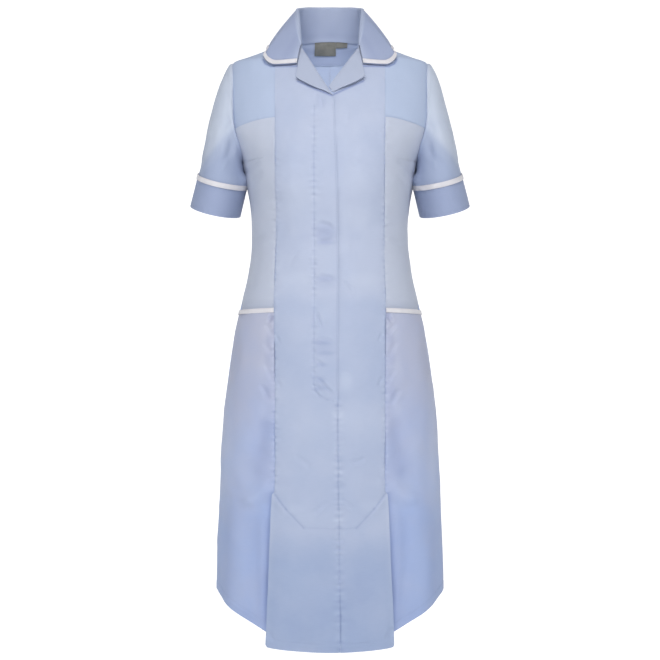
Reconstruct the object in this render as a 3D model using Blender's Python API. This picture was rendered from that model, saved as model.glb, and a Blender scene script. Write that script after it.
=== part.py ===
"""Nurse uniform dress, short sleeved and knee length, standing open as if it were worn.

Metres, +Z up. The wearer faces -Y and the wearer's left is +X. The origin is the middle of the
neck, level with the shoulder seams where they meet the collar: the dress hangs from there.

Most pieces lie on one surface, the dress's outer face. A place on it is a turn round the body
(0 is the centre front, 90 the wearer's left side seam, 180 the centre back) and a height.
Each piece is a wall of cloth: its outer points lie on that face, moved out or in by a relief,
and its inner points lie one wall further in.
"""

import math
from collections import namedtuple

import bmesh
import bpy
from mathutils import Vector

# Driving sizes
CLOTH = 0.0015  # wall of a panel of poly-cotton, hems and seam allowances averaged in
DOUBLE_CLOTH = 0.0018  # wall of a lapel, two layers pressed together
COLLAR_CLOTH = 0.0020  # wall of the collar, two layers and an interlining
BRAID = 0.0012  # wall of the white braid
BRAID_WIDTH = 0.0085
SEAM = 0.0003  # gap between pieces that are sewn together
LIFT = 0.0003  # gap under a piece that is sewn flat on another

NECK_TOP = 0.0010  # height of the neck seam on the shoulder
NAPE_RISE = 0.0124  # how much higher the neck seam is at the centre back
NECK_FRONT_TURN = 24.0  # where the collar ends on the front
NECK_FRONT_DROP = 0.0210  # how far the neck seam has dropped there
SHOULDER_TIP = -0.0396  # height of the outer end of the shoulder seam
UNDERARM = -0.2133  # height of the bottom of the armhole
ARMHOLE_FRONT_SCOOP = 26.5  # degrees that the armhole cuts into the front
ARMHOLE_BACK_SCOOP = 24.0
WAIST = -0.3300
POCKET_AT_FRONT = -0.4607  # height of the pocket mouth at the princess seam
POCKET_AT_SIDE = -0.4645
POCKET_DEPTH = 0.170
FLY_END = -0.6000  # bottom of the overlap of the two fronts
PLEAT_TOP = -0.7630  # where the kick pleats open
HEM_SIDE = -0.9400  # height of the hem at the side seams
HEM_DIP = 0.0730  # how much lower it hangs towards the centre front and back
HEM_CENTRE = -1.0227  # height of the centre panel's hem
HEM_CENTRE_RISE = 0.0070  # how much that hem rises to the panel's corners
HEM_ROWS_FROM = -0.8000  # below this height the rows fan out to the curved hem

SQUARENESS = 0.12  # how much fuller than an ellipse a section is between front and side

Section = namedtuple("Section", "height half_width front back")
SECTIONS = [
    Section(0.0300, 0.0640, 0.0500, 0.0640),
    Section(0.0134, 0.0665, 0.0510, 0.0665),
    Section(0.0010, 0.0680, 0.0520, 0.0700),
    Section(-0.0100, 0.0952, 0.0565, 0.0755),
    Section(-0.0220, 0.1249, 0.0625, 0.0810),
    Section(-0.0320, 0.1497, 0.0680, 0.0850),
    Section(-0.0396, 0.1685, 0.0725, 0.0880),
    Section(-0.0500, 0.1725, 0.0780, 0.0910),
    Section(-0.0650, 0.1760, 0.0855, 0.0945),
    Section(-0.0850, 0.1797, 0.0945, 0.0980),
    Section(-0.1050, 0.1820, 0.1025, 0.1005),
    Section(-0.1300, 0.1820, 0.1110, 0.1020),
    Section(-0.1550, 0.1775, 0.1180, 0.1025),
    Section(-0.1875, 0.1620, 0.1240, 0.1010),
    Section(-0.2133, 0.1500, 0.1270, 0.0985),
    Section(-0.2528, 0.1425, 0.1265, 0.0925),
    Section(-0.2976, 0.1350, 0.1195, 0.0840),
    Section(-0.3300, 0.1333, 0.1140, 0.0805),
    Section(-0.3630, 0.1350, 0.1110, 0.0820),
    Section(-0.4042, 0.1410, 0.1110, 0.0885),
    Section(-0.4455, 0.1505, 0.1125, 0.0965),
    Section(-0.4868, 0.1600, 0.1150, 0.1045),
    Section(-0.5280, 0.1677, 0.1180, 0.1110),
    Section(-0.5690, 0.1737, 0.1205, 0.1160),
    Section(-0.6106, 0.1789, 0.1230, 0.1195),
    Section(-0.6520, 0.1832, 0.1255, 0.1220),
    Section(-0.7140, 0.1866, 0.1285, 0.1245),
    Section(-0.7960, 0.1900, 0.1320, 0.1270),
    Section(-0.8790, 0.1935, 0.1355, 0.1290),
    Section(-0.9440, 0.1950, 0.1380, 0.1305),
    Section(-1.0300, 0.1965, 0.1405, 0.1320),
]

# The fullness over the bust that the princess seams are cut for
BUST_OUT = 0.0090
BUST_ACROSS = 0.0780
BUST_HEIGHT = -0.2280
BUST_HALF_WIDTH = 0.0480
BUST_HALF_HEIGHT = 0.0620

# The edges of the two fronts, the lapels' fold lines above and the zip fly below: the wearer's
# right front laps over the left one as far as FLY_END, and below that they meet in a seam
FrontEdge = namedtuple("FrontEdge", "height over under")
FRONT_EDGES = [
    FrontEdge(-0.0200, -0.0487, 0.0487),
    FrontEdge(-0.1080, 0.0038, 0.0044),
    FrontEdge(-0.1180, 0.0066, -0.0054),
    FrontEdge(-0.2600, 0.0122, 0.0002),
    FrontEdge(-0.4000, 0.0135, 0.0015),
    FrontEdge(-0.5750, 0.0128, 0.0008),
    FrontEdge(-0.6000, 0.0126, 0.0129),
    FrontEdge(-0.8000, 0.0145, 0.0148),
    FrontEdge(-1.0300, 0.0170, 0.0173),
]
OVERLAP_RISE = 0.0012  # the upper front stands this far out at its edge
OVERLAP_DROP = 0.0010  # the lower front lies this far in under it
FLY_WIDTH = 0.0400
UNDER_WIDTH = 0.0240

# The princess seams: the centre panel's edge, and the side panel's, which goes on behind it as
# the pleat's underlay
Princess = namedtuple("Princess", "height centre side")
PRINCESS = [
    Princess(0.0010, 0.0925, 0.0928),
    Princess(-0.1447, 0.0912, 0.0915),
    Princess(-0.2500, 0.0903, 0.0906),
    Princess(-0.3300, 0.0903, 0.0906),
    Princess(-0.4600, 0.0928, 0.0931),
    Princess(-0.6200, 0.0915, 0.0918),
    Princess(-0.7630, 0.0930, 0.0933),
    Princess(-0.8200, 0.0955, 0.0860),
    Princess(-0.9200, 0.1000, 0.0780),
    Princess(-1.0300, 0.1048, 0.0740),
]
PLEAT_STEP_FROM = -0.7300  # the step between the two panels starts growing here
PLEAT_STEP = 0.0011  # each panel's share of it at PLEAT_TOP
PLEAT_RISE = 0.0055  # centre panel at the hem
PLEAT_DROP = 0.0070  # side panel at the hem
PLEAT_REACH = 0.0650  # how far across a panel the step fades out

YOKE_AT_PRINCESS = -0.1447  # the yoke's lower seam curves down from here
YOKE_AT_ARMHOLE = -0.1580

# The skirt's soft vertical folds: ridges stand out and hollows go in, growing to the hem
Fold = namedtuple("Fold", "turn half_turn out starts")
FOLDS = [
    Fold(40.0, 7.0, -0.0040, -0.6200),
    Fold(56.0, 8.0, 0.0050, -0.5600),
    Fold(73.0, 7.0, -0.0030, -0.6400),
    Fold(104.0, 9.0, 0.0040, -0.5600),
    Fold(124.0, 9.0, -0.0055, -0.5200),
    Fold(143.0, 8.0, 0.0060, -0.5000),
    Fold(162.0, 8.0, -0.0045, -0.5600),
    Fold(-40.0, 7.0, -0.0040, -0.6200),
    Fold(-57.0, 8.0, 0.0050, -0.5500),
    Fold(-74.0, 7.0, -0.0030, -0.6500),
    Fold(-106.0, 9.0, 0.0045, -0.5400),
    Fold(-127.0, 9.0, -0.0050, -0.5400),
    Fold(-146.0, 8.0, 0.0055, -0.5100),
    Fold(-165.0, 8.0, -0.0040, -0.5800),
]

# The sleeve's hem is an oval ring round this centre, square to the sleeve's own axis
CUFF_CENTRE = Vector((0.1984, 0.0080, -0.2917))
SLEEVE_AXIS = Vector((0.225, 0.190, -0.956)).normalized()
CUFF_ACROSS = 0.0426  # half width from body side to outer side
CUFF_DEPTH = 0.0620  # half width from front to back
CUFF_HEIGHT = 0.0530
CUFF_OUT = 0.0006  # the cuff lies this far outside the sleeve
SLEEVE_TAPER = 0.0022  # how much narrower the sleeve is where the cuff begins

# The collar, from its front end to the centre back: the turn of the neck seam, the point on the
# roll line, and the turn and height where the outer edge comes to rest on the dress
Collar = namedtuple("Collar", "seam_turn roll_x roll_y roll_z edge_turn edge_z")
COLLAR = [
    Collar(24.0, 0.0480, -0.0605, -0.0150, 18.4, -0.0538),
    Collar(31.0, 0.0494, -0.0552, -0.0045, 22.6, -0.0545),
    Collar(39.0, 0.0509, -0.0480, 0.0080, 28.0, -0.0550),
    Collar(47.0, 0.0523, -0.0398, 0.0208, 33.2, -0.0543),
    Collar(55.0, 0.0534, -0.0311, 0.0325, 37.8, -0.0480),
    Collar(63.0, 0.0545, -0.0215, 0.0422, 42.4, -0.0375),
    Collar(71.0, 0.0552, -0.0129, 0.0492, 51.5, -0.0258),
    Collar(82.0, 0.0556, -0.0005, 0.0556, 73.0, -0.0134),
    Collar(96.0, 0.0550, 0.0158, 0.0599, 93.0, -0.0120),
    Collar(115.0, 0.0500, 0.0340, 0.0636, 118.0, -0.0124),
    Collar(135.0, 0.0385, 0.0475, 0.0662, 142.0, -0.0128),
    Collar(157.0, 0.0205, 0.0570, 0.0680, 161.0, -0.0122),
    Collar(180.0, 0.0000, 0.0600, 0.0687, 180.0, -0.0120),
]
ROLL_RADIUS = 0.0034
COLLAR_REST = 0.0050  # outer face of the collar's edge above the dress
COLLAR_BOW = 0.0015

# The lapels' corners, seen from the front: fold at the collar, notch, point, foot of the fold
Lapel = namedtuple("Lapel", "fold notch point foot")
RIGHT_LAPEL = Lapel((-0.0474, -0.0225), (-0.0520, -0.0452), (-0.0552, -0.0800), (0.0036, -0.1085))
LEFT_LAPEL = Lapel((0.0474, -0.0225), (0.0520, -0.0452), (0.0570, -0.0785), (0.0064, -0.1035))
LAPEL_UNDER = 0.0008  # gap under the lapel at its fold
LAPEL_CURL = 0.0040  # how much more its point lifts

FACING_DEPTH_BACK = 0.0401  # the neck facing inside the back
FACING_DEPTH_SHOULDER = 0.0150
FACING_CLOTH = 0.0010
LABEL_CLOTH = 0.0008
LABEL = ((-0.0282, 0.0100), (0.0104, -0.0122))  # x range, z range
SIZE_TAB = ((0.0118, 0.0322), (0.0104, 0.0014))

# How finely the pieces are cut into faces: shares of a stretch, or heights
YOKE_ROWS = (0.0, 0.197, 0.271, 0.354, 0.5, 0.66, 0.81, 0.93, 1.0)
SIDE_TOP_ROWS = (0.0, 0.30, 0.55, 0.76, 0.91, 1.0)
BACK_ARMHOLE = (-0.0396, -0.0460, -0.0560, -0.0720, -0.0950, -0.1200, -0.1450, -0.1680, -0.1880,
                -0.2020, -0.2100, -0.2133)
BODICE_ROWS = (-0.2133, -0.2350, -0.2600, -0.2950, -0.3300, -0.3650, -0.4000, -0.4350)
SKIRT_ROWS = (-0.4850, -0.5200, -0.5600, -0.6000, -0.6400, -0.6850, -0.7300, -0.7630, -0.8000)
HEM_ROWS = (0.0, 0.25, 0.5, 0.75, 1.0)
SLEEVE_ROWS = (0.0, 0.07, 0.17, 0.30, 0.45, 0.60, 0.75, 0.88, 1.0)

BLUE = (0.42, 0.51, 0.74)
YOKE_BLUE = (0.37, 0.46, 0.68)
WHITE = (0.86, 0.86, 0.89)
LABEL_GREY = (0.16, 0.16, 0.17)


def mix(a, b, share):
    return a + (b - a) * share


def smooth(share):
    """0 to 1 as share goes from 0 to 1, flat at both ends."""
    share = min(1.0, max(0.0, share))
    return share * share * (3 - 2 * share)


def shares(count):
    return [k / (count - 1) for k in range(count)]


def slope_at(rows, k, column):
    """A table's slope at one row, none where the values turn, so that the curve never overshoots."""
    def secant(j):
        upper, lower = rows[j], rows[j + 1]
        return (getattr(upper, column) - getattr(lower, column)) / (upper.height - lower.height)

    if k == 0:
        return secant(0)
    if k == len(rows) - 1:
        return secant(k - 1)
    above, below = secant(k - 1), secant(k)
    return 2 * above * below / (above + below) if above * below > 0 else 0.0


def read(rows, height, column):
    """One column of a table at any height, on a smooth curve through its rows."""
    height = min(rows[0].height, max(rows[-1].height, height))
    k = next(j for j in range(len(rows) - 1) if rows[j + 1].height <= height)
    upper, lower = rows[k], rows[k + 1]
    span = upper.height - lower.height
    s = (height - lower.height) / span
    low, high = getattr(lower, column), getattr(upper, column)
    rise = span * slope_at(rows, k + 1, column) * s * (1 - s) ** 2
    fall = span * slope_at(rows, k, column) * s * s * (s - 1)
    return low + (high - low) * s * s * (3 - 2 * s) + rise + fall


def read_straight(rows, height, column):
    """One column of a table at any height, on straight lines between its rows."""
    height = min(rows[0].height, max(rows[-1].height, height))
    k = next(j for j in range(len(rows) - 1) if rows[j + 1].height <= height)
    upper, lower = rows[k], rows[k + 1]
    s = (height - lower.height) / (upper.height - lower.height)
    return mix(getattr(lower, column), getattr(upper, column), s)


def fold_relief(turn, z):
    """How far the skirt's soft folds stand out at a place."""
    out = 0.0
    for fold in FOLDS:
        away = (turn - fold.turn + 180) % 360 - 180
        grown = smooth((fold.starts - z) / (fold.starts - HEM_CENTRE))
        out += fold.out * grown * math.exp(-((away / fold.half_turn) ** 2))
    return out


def face_point(turn, z):
    """A point of the dress's outer face, folds left out."""
    a = math.radians(turn)
    forward = math.cos(a)
    depth = read(SECTIONS, z, "front" if forward > 0 else "back")
    x = read(SECTIONS, z, "half_width") * math.sin(a)
    y = -depth * forward * (1 + SQUARENESS * math.sin(a) ** 2)
    if forward > 0:
        across = (abs(x) - BUST_ACROSS) / BUST_HALF_WIDTH
        up = (z - BUST_HEIGHT) / BUST_HALF_HEIGHT
        y -= BUST_OUT * forward * math.exp(-across * across - up * up)
    return Vector((x, y, z))


def face_normal(turn, z):
    along = face_point(turn + 0.3, z) - face_point(turn - 0.3, z)
    up = face_point(turn, z + 0.0006) - face_point(turn, z - 0.0006)
    return along.cross(up).normalized()


def wall(turn, z, relief=0.0, cloth=CLOTH):
    """The outer and inner point of a wall of cloth at a place on the dress."""
    point, out = face_point(turn, z), face_normal(turn, z)
    relief += fold_relief(turn, z)
    return point + out * relief, point + out * (relief - cloth)


def turn_at(x, z):
    """The turn, on the front, of the place with this x at a height."""
    return math.degrees(math.asin(max(-1.0, min(1.0, x / read(SECTIONS, z, "half_width")))))


def seam_turn(z):
    """Half a seam's gap at the side of the body, as a turn."""
    return math.degrees(SEAM / 2 / read(SECTIONS, z, "front"))


def armhole_turn(z, scoop):
    """How far the armhole's edge lies from the side of the body."""
    middle, half = (SHOULDER_TIP + UNDERARM) / 2, (SHOULDER_TIP - UNDERARM) / 2
    across = math.sqrt(max(0.0, 1 - ((z - middle) / half) ** 2))
    return scoop * across ** 0.7


def side_turn(z, scoop):
    """The outer edge of a front panel: the side seam, the armhole, then the shoulder seam."""
    if UNDERARM < z < SHOULDER_TIP:
        return 90 - armhole_turn(z, scoop)
    return 90 - seam_turn(z)


def shoulder_height(x):
    """The height of the shoulder seam at this x, by halving."""
    low, high = SHOULDER_TIP, NECK_TOP
    for _ in range(30):
        middle = (low + high) / 2
        if read(SECTIONS, middle, "half_width") > x:
            low = middle
        else:
            high = middle
    return (low + high) / 2


def neck_height(turn):
    if turn < 90:
        return NECK_TOP - NECK_FRONT_DROP * ((90 - turn) / (90 - NECK_FRONT_TURN)) ** 1.9
    return NECK_TOP + NAPE_RISE * math.cos(math.radians(turn)) ** 2


def neck_turn(z):
    """The turn of the front neck seam at a height, the other way round."""
    return 90 - (90 - NECK_FRONT_TURN) * ((NECK_TOP - z) / NECK_FRONT_DROP) ** (1 / 1.9)


def hem_height(turn):
    return HEM_SIDE - HEM_DIP * abs(math.cos(math.radians(turn))) ** 1.5


def centre_hem_height(x):
    return HEM_CENTRE + HEM_CENTRE_RISE * (x / PRINCESS[-1].centre) ** 2


def pleat_step(z, at_hem):
    """How far a panel has moved out or in at the pleat's edge, at a height."""
    if z > PLEAT_TOP:
        return PLEAT_STEP * smooth((PLEAT_STEP_FROM - z) / (PLEAT_STEP_FROM - PLEAT_TOP))
    return mix(PLEAT_STEP, at_hem, (PLEAT_TOP - z) / (PLEAT_TOP - HEM_CENTRE))


def material(name, colour, roughness=0.85):
    made = bpy.data.materials.get(name) or bpy.data.materials.new(name)
    made.use_nodes = True
    shader = made.node_tree.nodes["Principled BSDF"]
    shader.inputs["Base Color"].default_value = (*colour, 1.0)
    shader.inputs["Roughness"].default_value = roughness
    shader.inputs["Metallic"].default_value = 0.0
    return made


def cloth_solid(name, rows, finish, ring=False):
    """A closed wall from rows of (outer point, inner point): the outer sheet is extruded inwards."""
    bm = bmesh.new()
    order = bm.verts.layers.int.new("order")
    pairs = [pair for row in rows for pair in row]
    for k, (outer, _) in enumerate(pairs):
        bm.verts.new(outer)[order] = k
    bm.verts.ensure_lookup_table()
    across = len(rows[0])
    for r in range(len(rows) - 1):
        for c in range(across if ring else across - 1):
            d = (c + 1) % across
            corners = (r * across + c, r * across + d, (r + 1) * across + d, (r + 1) * across + c)
            bm.faces.new([bm.verts[k] for k in corners])
    grown = bmesh.ops.extrude_face_region(bm, geom=list(bm.faces), use_keep_orig=True)
    for item in grown["geom"]:
        if isinstance(item, bmesh.types.BMVert):
            item.co = pairs[item[order]][1]
    bmesh.ops.recalc_face_normals(bm, faces=bm.faces)
    mesh = bpy.data.meshes.new(name)
    bm.to_mesh(mesh)
    bm.free()
    mesh.shade_smooth()
    mesh.set_sharp_from_angle(angle=math.radians(50))
    mesh.materials.append(finish)
    made = bpy.data.objects.new(name, mesh)
    bpy.context.scene.collection.objects.link(made)
    return made


def mirrored(rows):
    """The same rows of points on the wearer's right side."""
    return [[tuple(Vector((-p.x, p.y, p.z)) for p in pair) for pair in row] for row in rows]


def centre_heights():
    """The heights of the centre panels' rows, which the pieces beside them share."""
    princess_top = shoulder_height(PRINCESS[0].centre)
    heights = [NECK_TOP - 0.0015, (NECK_TOP + princess_top) / 2]
    heights += [mix(YOKE_AT_PRINCESS, princess_top, s) for s in reversed(YOKE_ROWS)]
    heights += [mix(YOKE_AT_PRINCESS, UNDERARM, s) for s in SIDE_TOP_ROWS[1:]]
    heights += BODICE_ROWS[1:]
    heights.append(POCKET_AT_FRONT)
    return heights + list(SKIRT_ROWS)


def centre_panel(side, columns=8):
    """One half of the front centre panel. side is -1 on the wearer's right, which laps over."""
    over = side < 0

    def place(z, share, relief_z):
        """A point of the panel, share 0 at the front edge and 1 at the princess seam."""
        if z > FRONT_EDGES[0].height:
            inner = side * neck_turn(z)
        else:
            inner = turn_at(read_straight(FRONT_EDGES, z, "over" if over else "under"), z)
        outer = min(turn_at(read(PRINCESS, z, "centre"), z), 90 - seam_turn(z))
        turn = mix(inner, side * outer, share)
        x = face_point(turn, z).x
        relief = centre_relief(x, relief_z, over)
        return turn, relief

    rows = []
    for z in centre_heights():
        rows.append([wall(turn, z, relief)
                     for turn, relief in (place(z, s, z) for s in shares(columns))])
    for fall in HEM_ROWS[1:]:
        row = []
        for s in shares(columns):
            edge_x = read_straight(FRONT_EDGES, HEM_CENTRE, "over" if over else "under")
            x = mix(edge_x, side * PRINCESS[-1].centre, s)
            z = mix(HEM_ROWS_FROM, centre_hem_height(x), fall)
            turn, relief = place(z, s, z)
            row.append(wall(turn, z, relief))
        rows.append(row)
    return rows


def centre_relief(x, z, over):
    """The centre panel's steps: its overlap at the front edge and its rise at the pleats."""
    edge = read_straight(FRONT_EDGES, z, "over")
    grown = smooth((-0.088 - z) / 0.020) * (1 - smooth((FLY_END - z) / 0.035))
    if over:
        relief = OVERLAP_RISE * grown * smooth(1 - (edge - x) / FLY_WIDTH)
    else:
        relief = -OVERLAP_DROP * grown * smooth(1 - (x - edge) / UNDER_WIDTH)
    inside = read(PRINCESS, z, "centre") - abs(x)
    return relief + pleat_step(z, PLEAT_RISE) * smooth(1 - inside / PLEAT_REACH)


def yoke(columns=6):
    """The wearer's left front yoke, from its lower seam up to the shoulder seam."""
    rows = []
    for up in YOKE_ROWS:
        row = []
        for s in shares(columns):
            seam_x = PRINCESS[0].side
            tip_x = read(SECTIONS, SHOULDER_TIP, "half_width")
            top = shoulder_height(mix(seam_x, tip_x, s))
            z = mix(yoke_seam(s) + SEAM / 2, top, up)
            inner = turn_at(read(PRINCESS, z, "side"), z)
            outer = side_turn(min(z, SHOULDER_TIP), ARMHOLE_FRONT_SCOOP)
            x_inner = face_point(inner, z).x
            x_outer = face_point(outer, min(z, SHOULDER_TIP)).x
            turn = min(turn_at(mix(x_inner, x_outer, s), z), 90 - seam_turn(z))
            row.append(wall(turn, z))
        rows.append(row)
    return rows


def yoke_seam(share):
    """The height of the yoke's lower seam, from the princess seam to the armhole."""
    return mix(YOKE_AT_PRINCESS, YOKE_AT_ARMHOLE, share ** 1.6)


def side_relief(turn, z):
    """The side panel's drop behind the centre panel at the pleat."""
    across = face_point(turn, z).x - read(PRINCESS, z, "side")
    return -pleat_step(z, PLEAT_DROP) * smooth(1 - across / PLEAT_REACH)


def side_bodice(columns=6):
    """The wearer's left side front, from the yoke down past the pocket mouth as the pocket's back."""
    rows = []
    for down in SIDE_TOP_ROWS:
        row = []
        for s in shares(columns):
            z = mix(yoke_seam(s) - SEAM / 2, UNDERARM, down)
            inner = turn_at(read(PRINCESS, z, "side"), z)
            x = mix(face_point(inner, z).x, face_point(side_turn(z, ARMHOLE_FRONT_SCOOP), z).x, s)
            row.append(wall(min(turn_at(x, z), side_turn(z, ARMHOLE_FRONT_SCOOP)), z))
        rows.append(row)
    bag_end = POCKET_AT_FRONT - POCKET_DEPTH
    for z in [*BODICE_ROWS[1:], -0.4570, -0.4850, -0.5200, -0.5600, -0.6000, bag_end]:
        inner, outer = turn_at(read(PRINCESS, z, "side"), z), 90 - seam_turn(z)
        relief = -(CLOTH + 3 * LIFT) * smooth((-0.4200 - z) / 0.0350)
        rows.append([wall(mix(inner, outer, s), z, relief) for s in shares(columns)])
    return rows


def pocket_mouth(share):
    return mix(POCKET_AT_FRONT, POCKET_AT_SIDE, share)


def side_skirt(columns=9):
    """The wearer's left side of the skirt, whose upper part is the pocket's front."""
    rows = []
    for z in [None, *SKIRT_ROWS]:
        row = []
        for s in shares(columns):
            height = pocket_mouth(s) if z is None else z
            inner, outer = turn_at(read(PRINCESS, height, "side"), height), 90 - seam_turn(height)
            turn = mix(inner, outer, s)
            row.append(wall(turn, height, side_relief(turn, height)))
        rows.append(row)
    for fall in HEM_ROWS[1:]:
        row = []
        for s in shares(columns):
            at_hem = mix(turn_at(PRINCESS[-1].side, HEM_SIDE), 90 - seam_turn(HEM_SIDE), s)
            z = mix(HEM_ROWS_FROM, hem_height(at_hem), fall)
            turn = mix(turn_at(read(PRINCESS, z, "side"), z), 90 - seam_turn(z), s)
            row.append(wall(turn, z, side_relief(turn, z)))
        rows.append(row)
    return rows


def pocket_braid(columns=9):
    """The white braid that binds the pocket mouth, laid over the skirt's top edge."""
    rows = []
    for z_down in (-0.0004, BRAID_WIDTH / 2, BRAID_WIDTH):
        row = []
        for s in shares(columns):
            z = pocket_mouth(s) - z_down
            turn = mix(turn_at(read(PRINCESS, z, "side"), z), 90 - seam_turn(z), s)
            row.append(wall(turn, z, side_relief(turn, z) + LIFT + BRAID, BRAID))
        rows.append(row)
    return rows


def back_panel(side, columns=13):
    """One half of the back, from the neck and shoulder seams to the hem."""
    half_seam = SEAM / 2

    def place(z, share, edge_turn):
        middle = 180 - math.degrees(half_seam / read(SECTIONS, z, "half_width"))
        return wall(side * mix(middle, edge_turn, share), z)

    rows = []
    for down in (0.0, 0.3, 0.65):
        row = []
        for s in shares(columns):
            z = mix(neck_height(mix(180, 90, s)) - half_seam, SHOULDER_TIP, down)
            row.append(place(z, s, 90 + seam_turn(z)))
        rows.append(row)
    for z in BACK_ARMHOLE:
        rows.append([place(z, s, 90 + max(seam_turn(z), armhole_turn(z, ARMHOLE_BACK_SCOOP)))
                     for s in shares(columns)])
    for z in [*BODICE_ROWS[1:], *SKIRT_ROWS]:
        rows.append([place(z, s, 90 + seam_turn(z)) for s in shares(columns)])
    for fall in HEM_ROWS[1:]:
        row = []
        for s in shares(columns):
            z = mix(HEM_ROWS_FROM, hem_height(mix(180, 90, s)), fall)
            row.append(place(z, s, 90 + seam_turn(z)))
        rows.append(row)
    return rows


def neck_facing(columns=23):
    """The facing inside the back neck, which shows below the collar."""
    relief = -CLOTH - 2 * LIFT
    rows = []
    for down in shares(4):
        row = []
        for s in shares(columns):
            turn = mix(97.5, 262.5, s)
            depth = mix(FACING_DEPTH_SHOULDER, FACING_DEPTH_BACK, math.cos(math.radians(turn)) ** 2)
            z = neck_height(min(turn, 360 - turn)) - 0.0012 - depth * down
            row.append(wall(turn, z, relief, FACING_CLOTH))
        rows.append(row)
    return rows


def neck_label(place, columns):
    """A woven label that hangs flat against the facing."""
    (x0, x1), (z0, z1) = place
    relief = -CLOTH - 2 * LIFT - FACING_CLOTH - 2.5 * LIFT
    rows = []
    for down in shares(3):
        z = mix(z0, z1, down)
        rows.append([wall(180 - turn_at(mix(x0, x1, s), z), z, relief, LABEL_CLOTH)
                     for s in shares(columns)])
    return rows


def armhole_ring():
    """The armhole's edge: shoulder tip, down the front, underarm, and up the back."""
    front = [mix(yoke_seam(1.0), SHOULDER_TIP, s) for s in reversed(YOKE_ROWS[:-1])]
    front += [mix(yoke_seam(1.0), UNDERARM, s) for s in SIDE_TOP_ROWS[1:-1]]
    places = [(90.0, SHOULDER_TIP)]
    places += [(90 - armhole_turn(z, ARMHOLE_FRONT_SCOOP), z) for z in front]
    places.append((90.0, UNDERARM))
    back = reversed(BACK_ARMHOLE[1:-1])
    places += [(90 + armhole_turn(z, ARMHOLE_BACK_SCOOP), z) for z in back]
    points = [face_point(turn, z) for turn, z in places]
    middle = sum(points, Vector()) / len(points)
    ring = []
    for k, (turn, z) in enumerate(places):
        along = points[(k + 1) % len(points)] - points[k - 1]
        off_edge = along.cross(face_normal(turn, z)).normalized()
        if off_edge.dot(middle - points[k]) < 0:
            off_edge.negate()
        ring.append(points[k] + off_edge * SEAM)
    return ring, middle


def sleeve_angles(ring, middle):
    """Where each point of the armhole goes round the sleeve: 0 on top, 90 in front."""
    half_height, half_depth = (SHOULDER_TIP - UNDERARM) / 2, 0.052
    return [math.atan2(-(p.y - middle.y) / half_depth, (p.z - middle.z) / half_height) for p in ring]


def cuff_point(angle, up, out):
    """A point of the oval round the sleeve's axis, up above the sleeve's hem."""
    outward = Vector((0, 1, 0)).cross(SLEEVE_AXIS).normalized()
    outward = outward if outward.x > 0 else -outward
    forward = SLEEVE_AXIS.cross(outward).normalized()
    forward = forward if forward.y < 0 else -forward
    taper = SLEEVE_TAPER * up / CUFF_HEIGHT
    centre = CUFF_CENTRE - SLEEVE_AXIS * up
    centre += outward * (CUFF_ACROSS - taper + out) * math.cos(angle)
    return centre + forward * (CUFF_DEPTH - taper + out) * math.sin(angle)


def sleeve_point(start, angle, share):
    """A point of the sleeve, on a smooth curve from the armhole to the cuff."""
    top, front = math.cos(angle), math.sin(angle)
    leave = Vector((0.0455 + 0.0295 * top, -0.0160 * front, -0.0210 - 0.0140 * top))
    arrive = SLEEVE_AXIS * (0.1150 + 0.0800 * top)
    end = cuff_point(angle, CUFF_HEIGHT + SEAM, 0.0)
    s = share
    return (start * (1 + 2 * s) * (1 - s) ** 2 + leave * s * (1 - s) ** 2
            + end * s * s * (3 - 2 * s) + arrive * s * s * (s - 1))


def tube_walls(rings, cloth):
    """Rings of outer points become rings of (outer, inner), the inner ones square to the tube."""
    rows = []
    for r, ring in enumerate(rings):
        row = []
        above, below = rings[max(r - 1, 0)], rings[min(r + 1, len(rings) - 1)]
        middle = sum(ring, Vector()) / len(ring)
        for c, point in enumerate(ring):
            along = ring[(c + 1) % len(ring)] - ring[c - 1]
            out = along.cross(below[c] - above[c]).normalized()
            if out.dot(point - middle) < 0:
                out.negate()
            row.append((point, point - out * cloth))
        rows.append(row)
    return rows


def sleeve():
    """The wearer's left sleeve, from the armhole seam to the cuff."""
    ring, middle = armhole_ring()
    angles = sleeve_angles(ring, middle)
    rings = [[sleeve_point(p, a, s) for p, a in zip(ring, angles)] for s in SLEEVE_ROWS]
    return tube_walls(rings, CLOTH)


def cuff_band(heights, out, cloth):
    """A band round the end of the wearer's left sleeve."""
    angles = sleeve_angles(*armhole_ring())
    return tube_walls([[cuff_point(a, up, out) for a in angles] for up in heights], cloth)


def collar_column(row):
    """The collar's visible face at one place: up the stand, over the roll, down the fall."""
    neck_z = neck_height(row.seam_turn)
    out = face_normal(row.seam_turn, neck_z)
    foot = face_point(row.seam_turn, neck_z) - out * (CLOTH + LIFT) + Vector((0, 0, 7 * SEAM))
    roll = Vector((row.roll_x, row.roll_y, row.roll_z))
    edge = face_point(row.edge_turn, row.edge_z)
    edge += face_normal(row.edge_turn, row.edge_z) * COLLAR_REST
    outward = Vector((edge.x - roll.x, edge.y - roll.y, 0)).normalized()
    radius = min(ROLL_RADIUS, (roll.z - foot.z) / 2.2)
    inside = roll - outward * radius - Vector((0, 0, radius))
    outside = roll + outward * radius - Vector((0, 0, radius))
    points = [foot, (foot + inside) / 2, inside]
    for turn in (45, 90, 135):
        a = math.radians(turn)
        points.append(roll - outward * radius * math.cos(a) - Vector((0, 0, radius * (1 - math.sin(a)))))
    points.append(outside)
    braid_from = 1 - BRAID_WIDTH / (edge - outside).length
    across = (edge - outside).cross(Vector((0, 0, 1)))
    bow_out = across.cross(edge - outside).normalized()
    bow_out = bow_out if bow_out.dot(outward) > 0 else -bow_out
    for share in (0.3, 0.62, braid_from, 1.0):
        bow = COLLAR_BOW * 4 * share * (1 - share)
        points.append(mix(outside, edge, share) + bow_out * bow)
    return points


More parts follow.
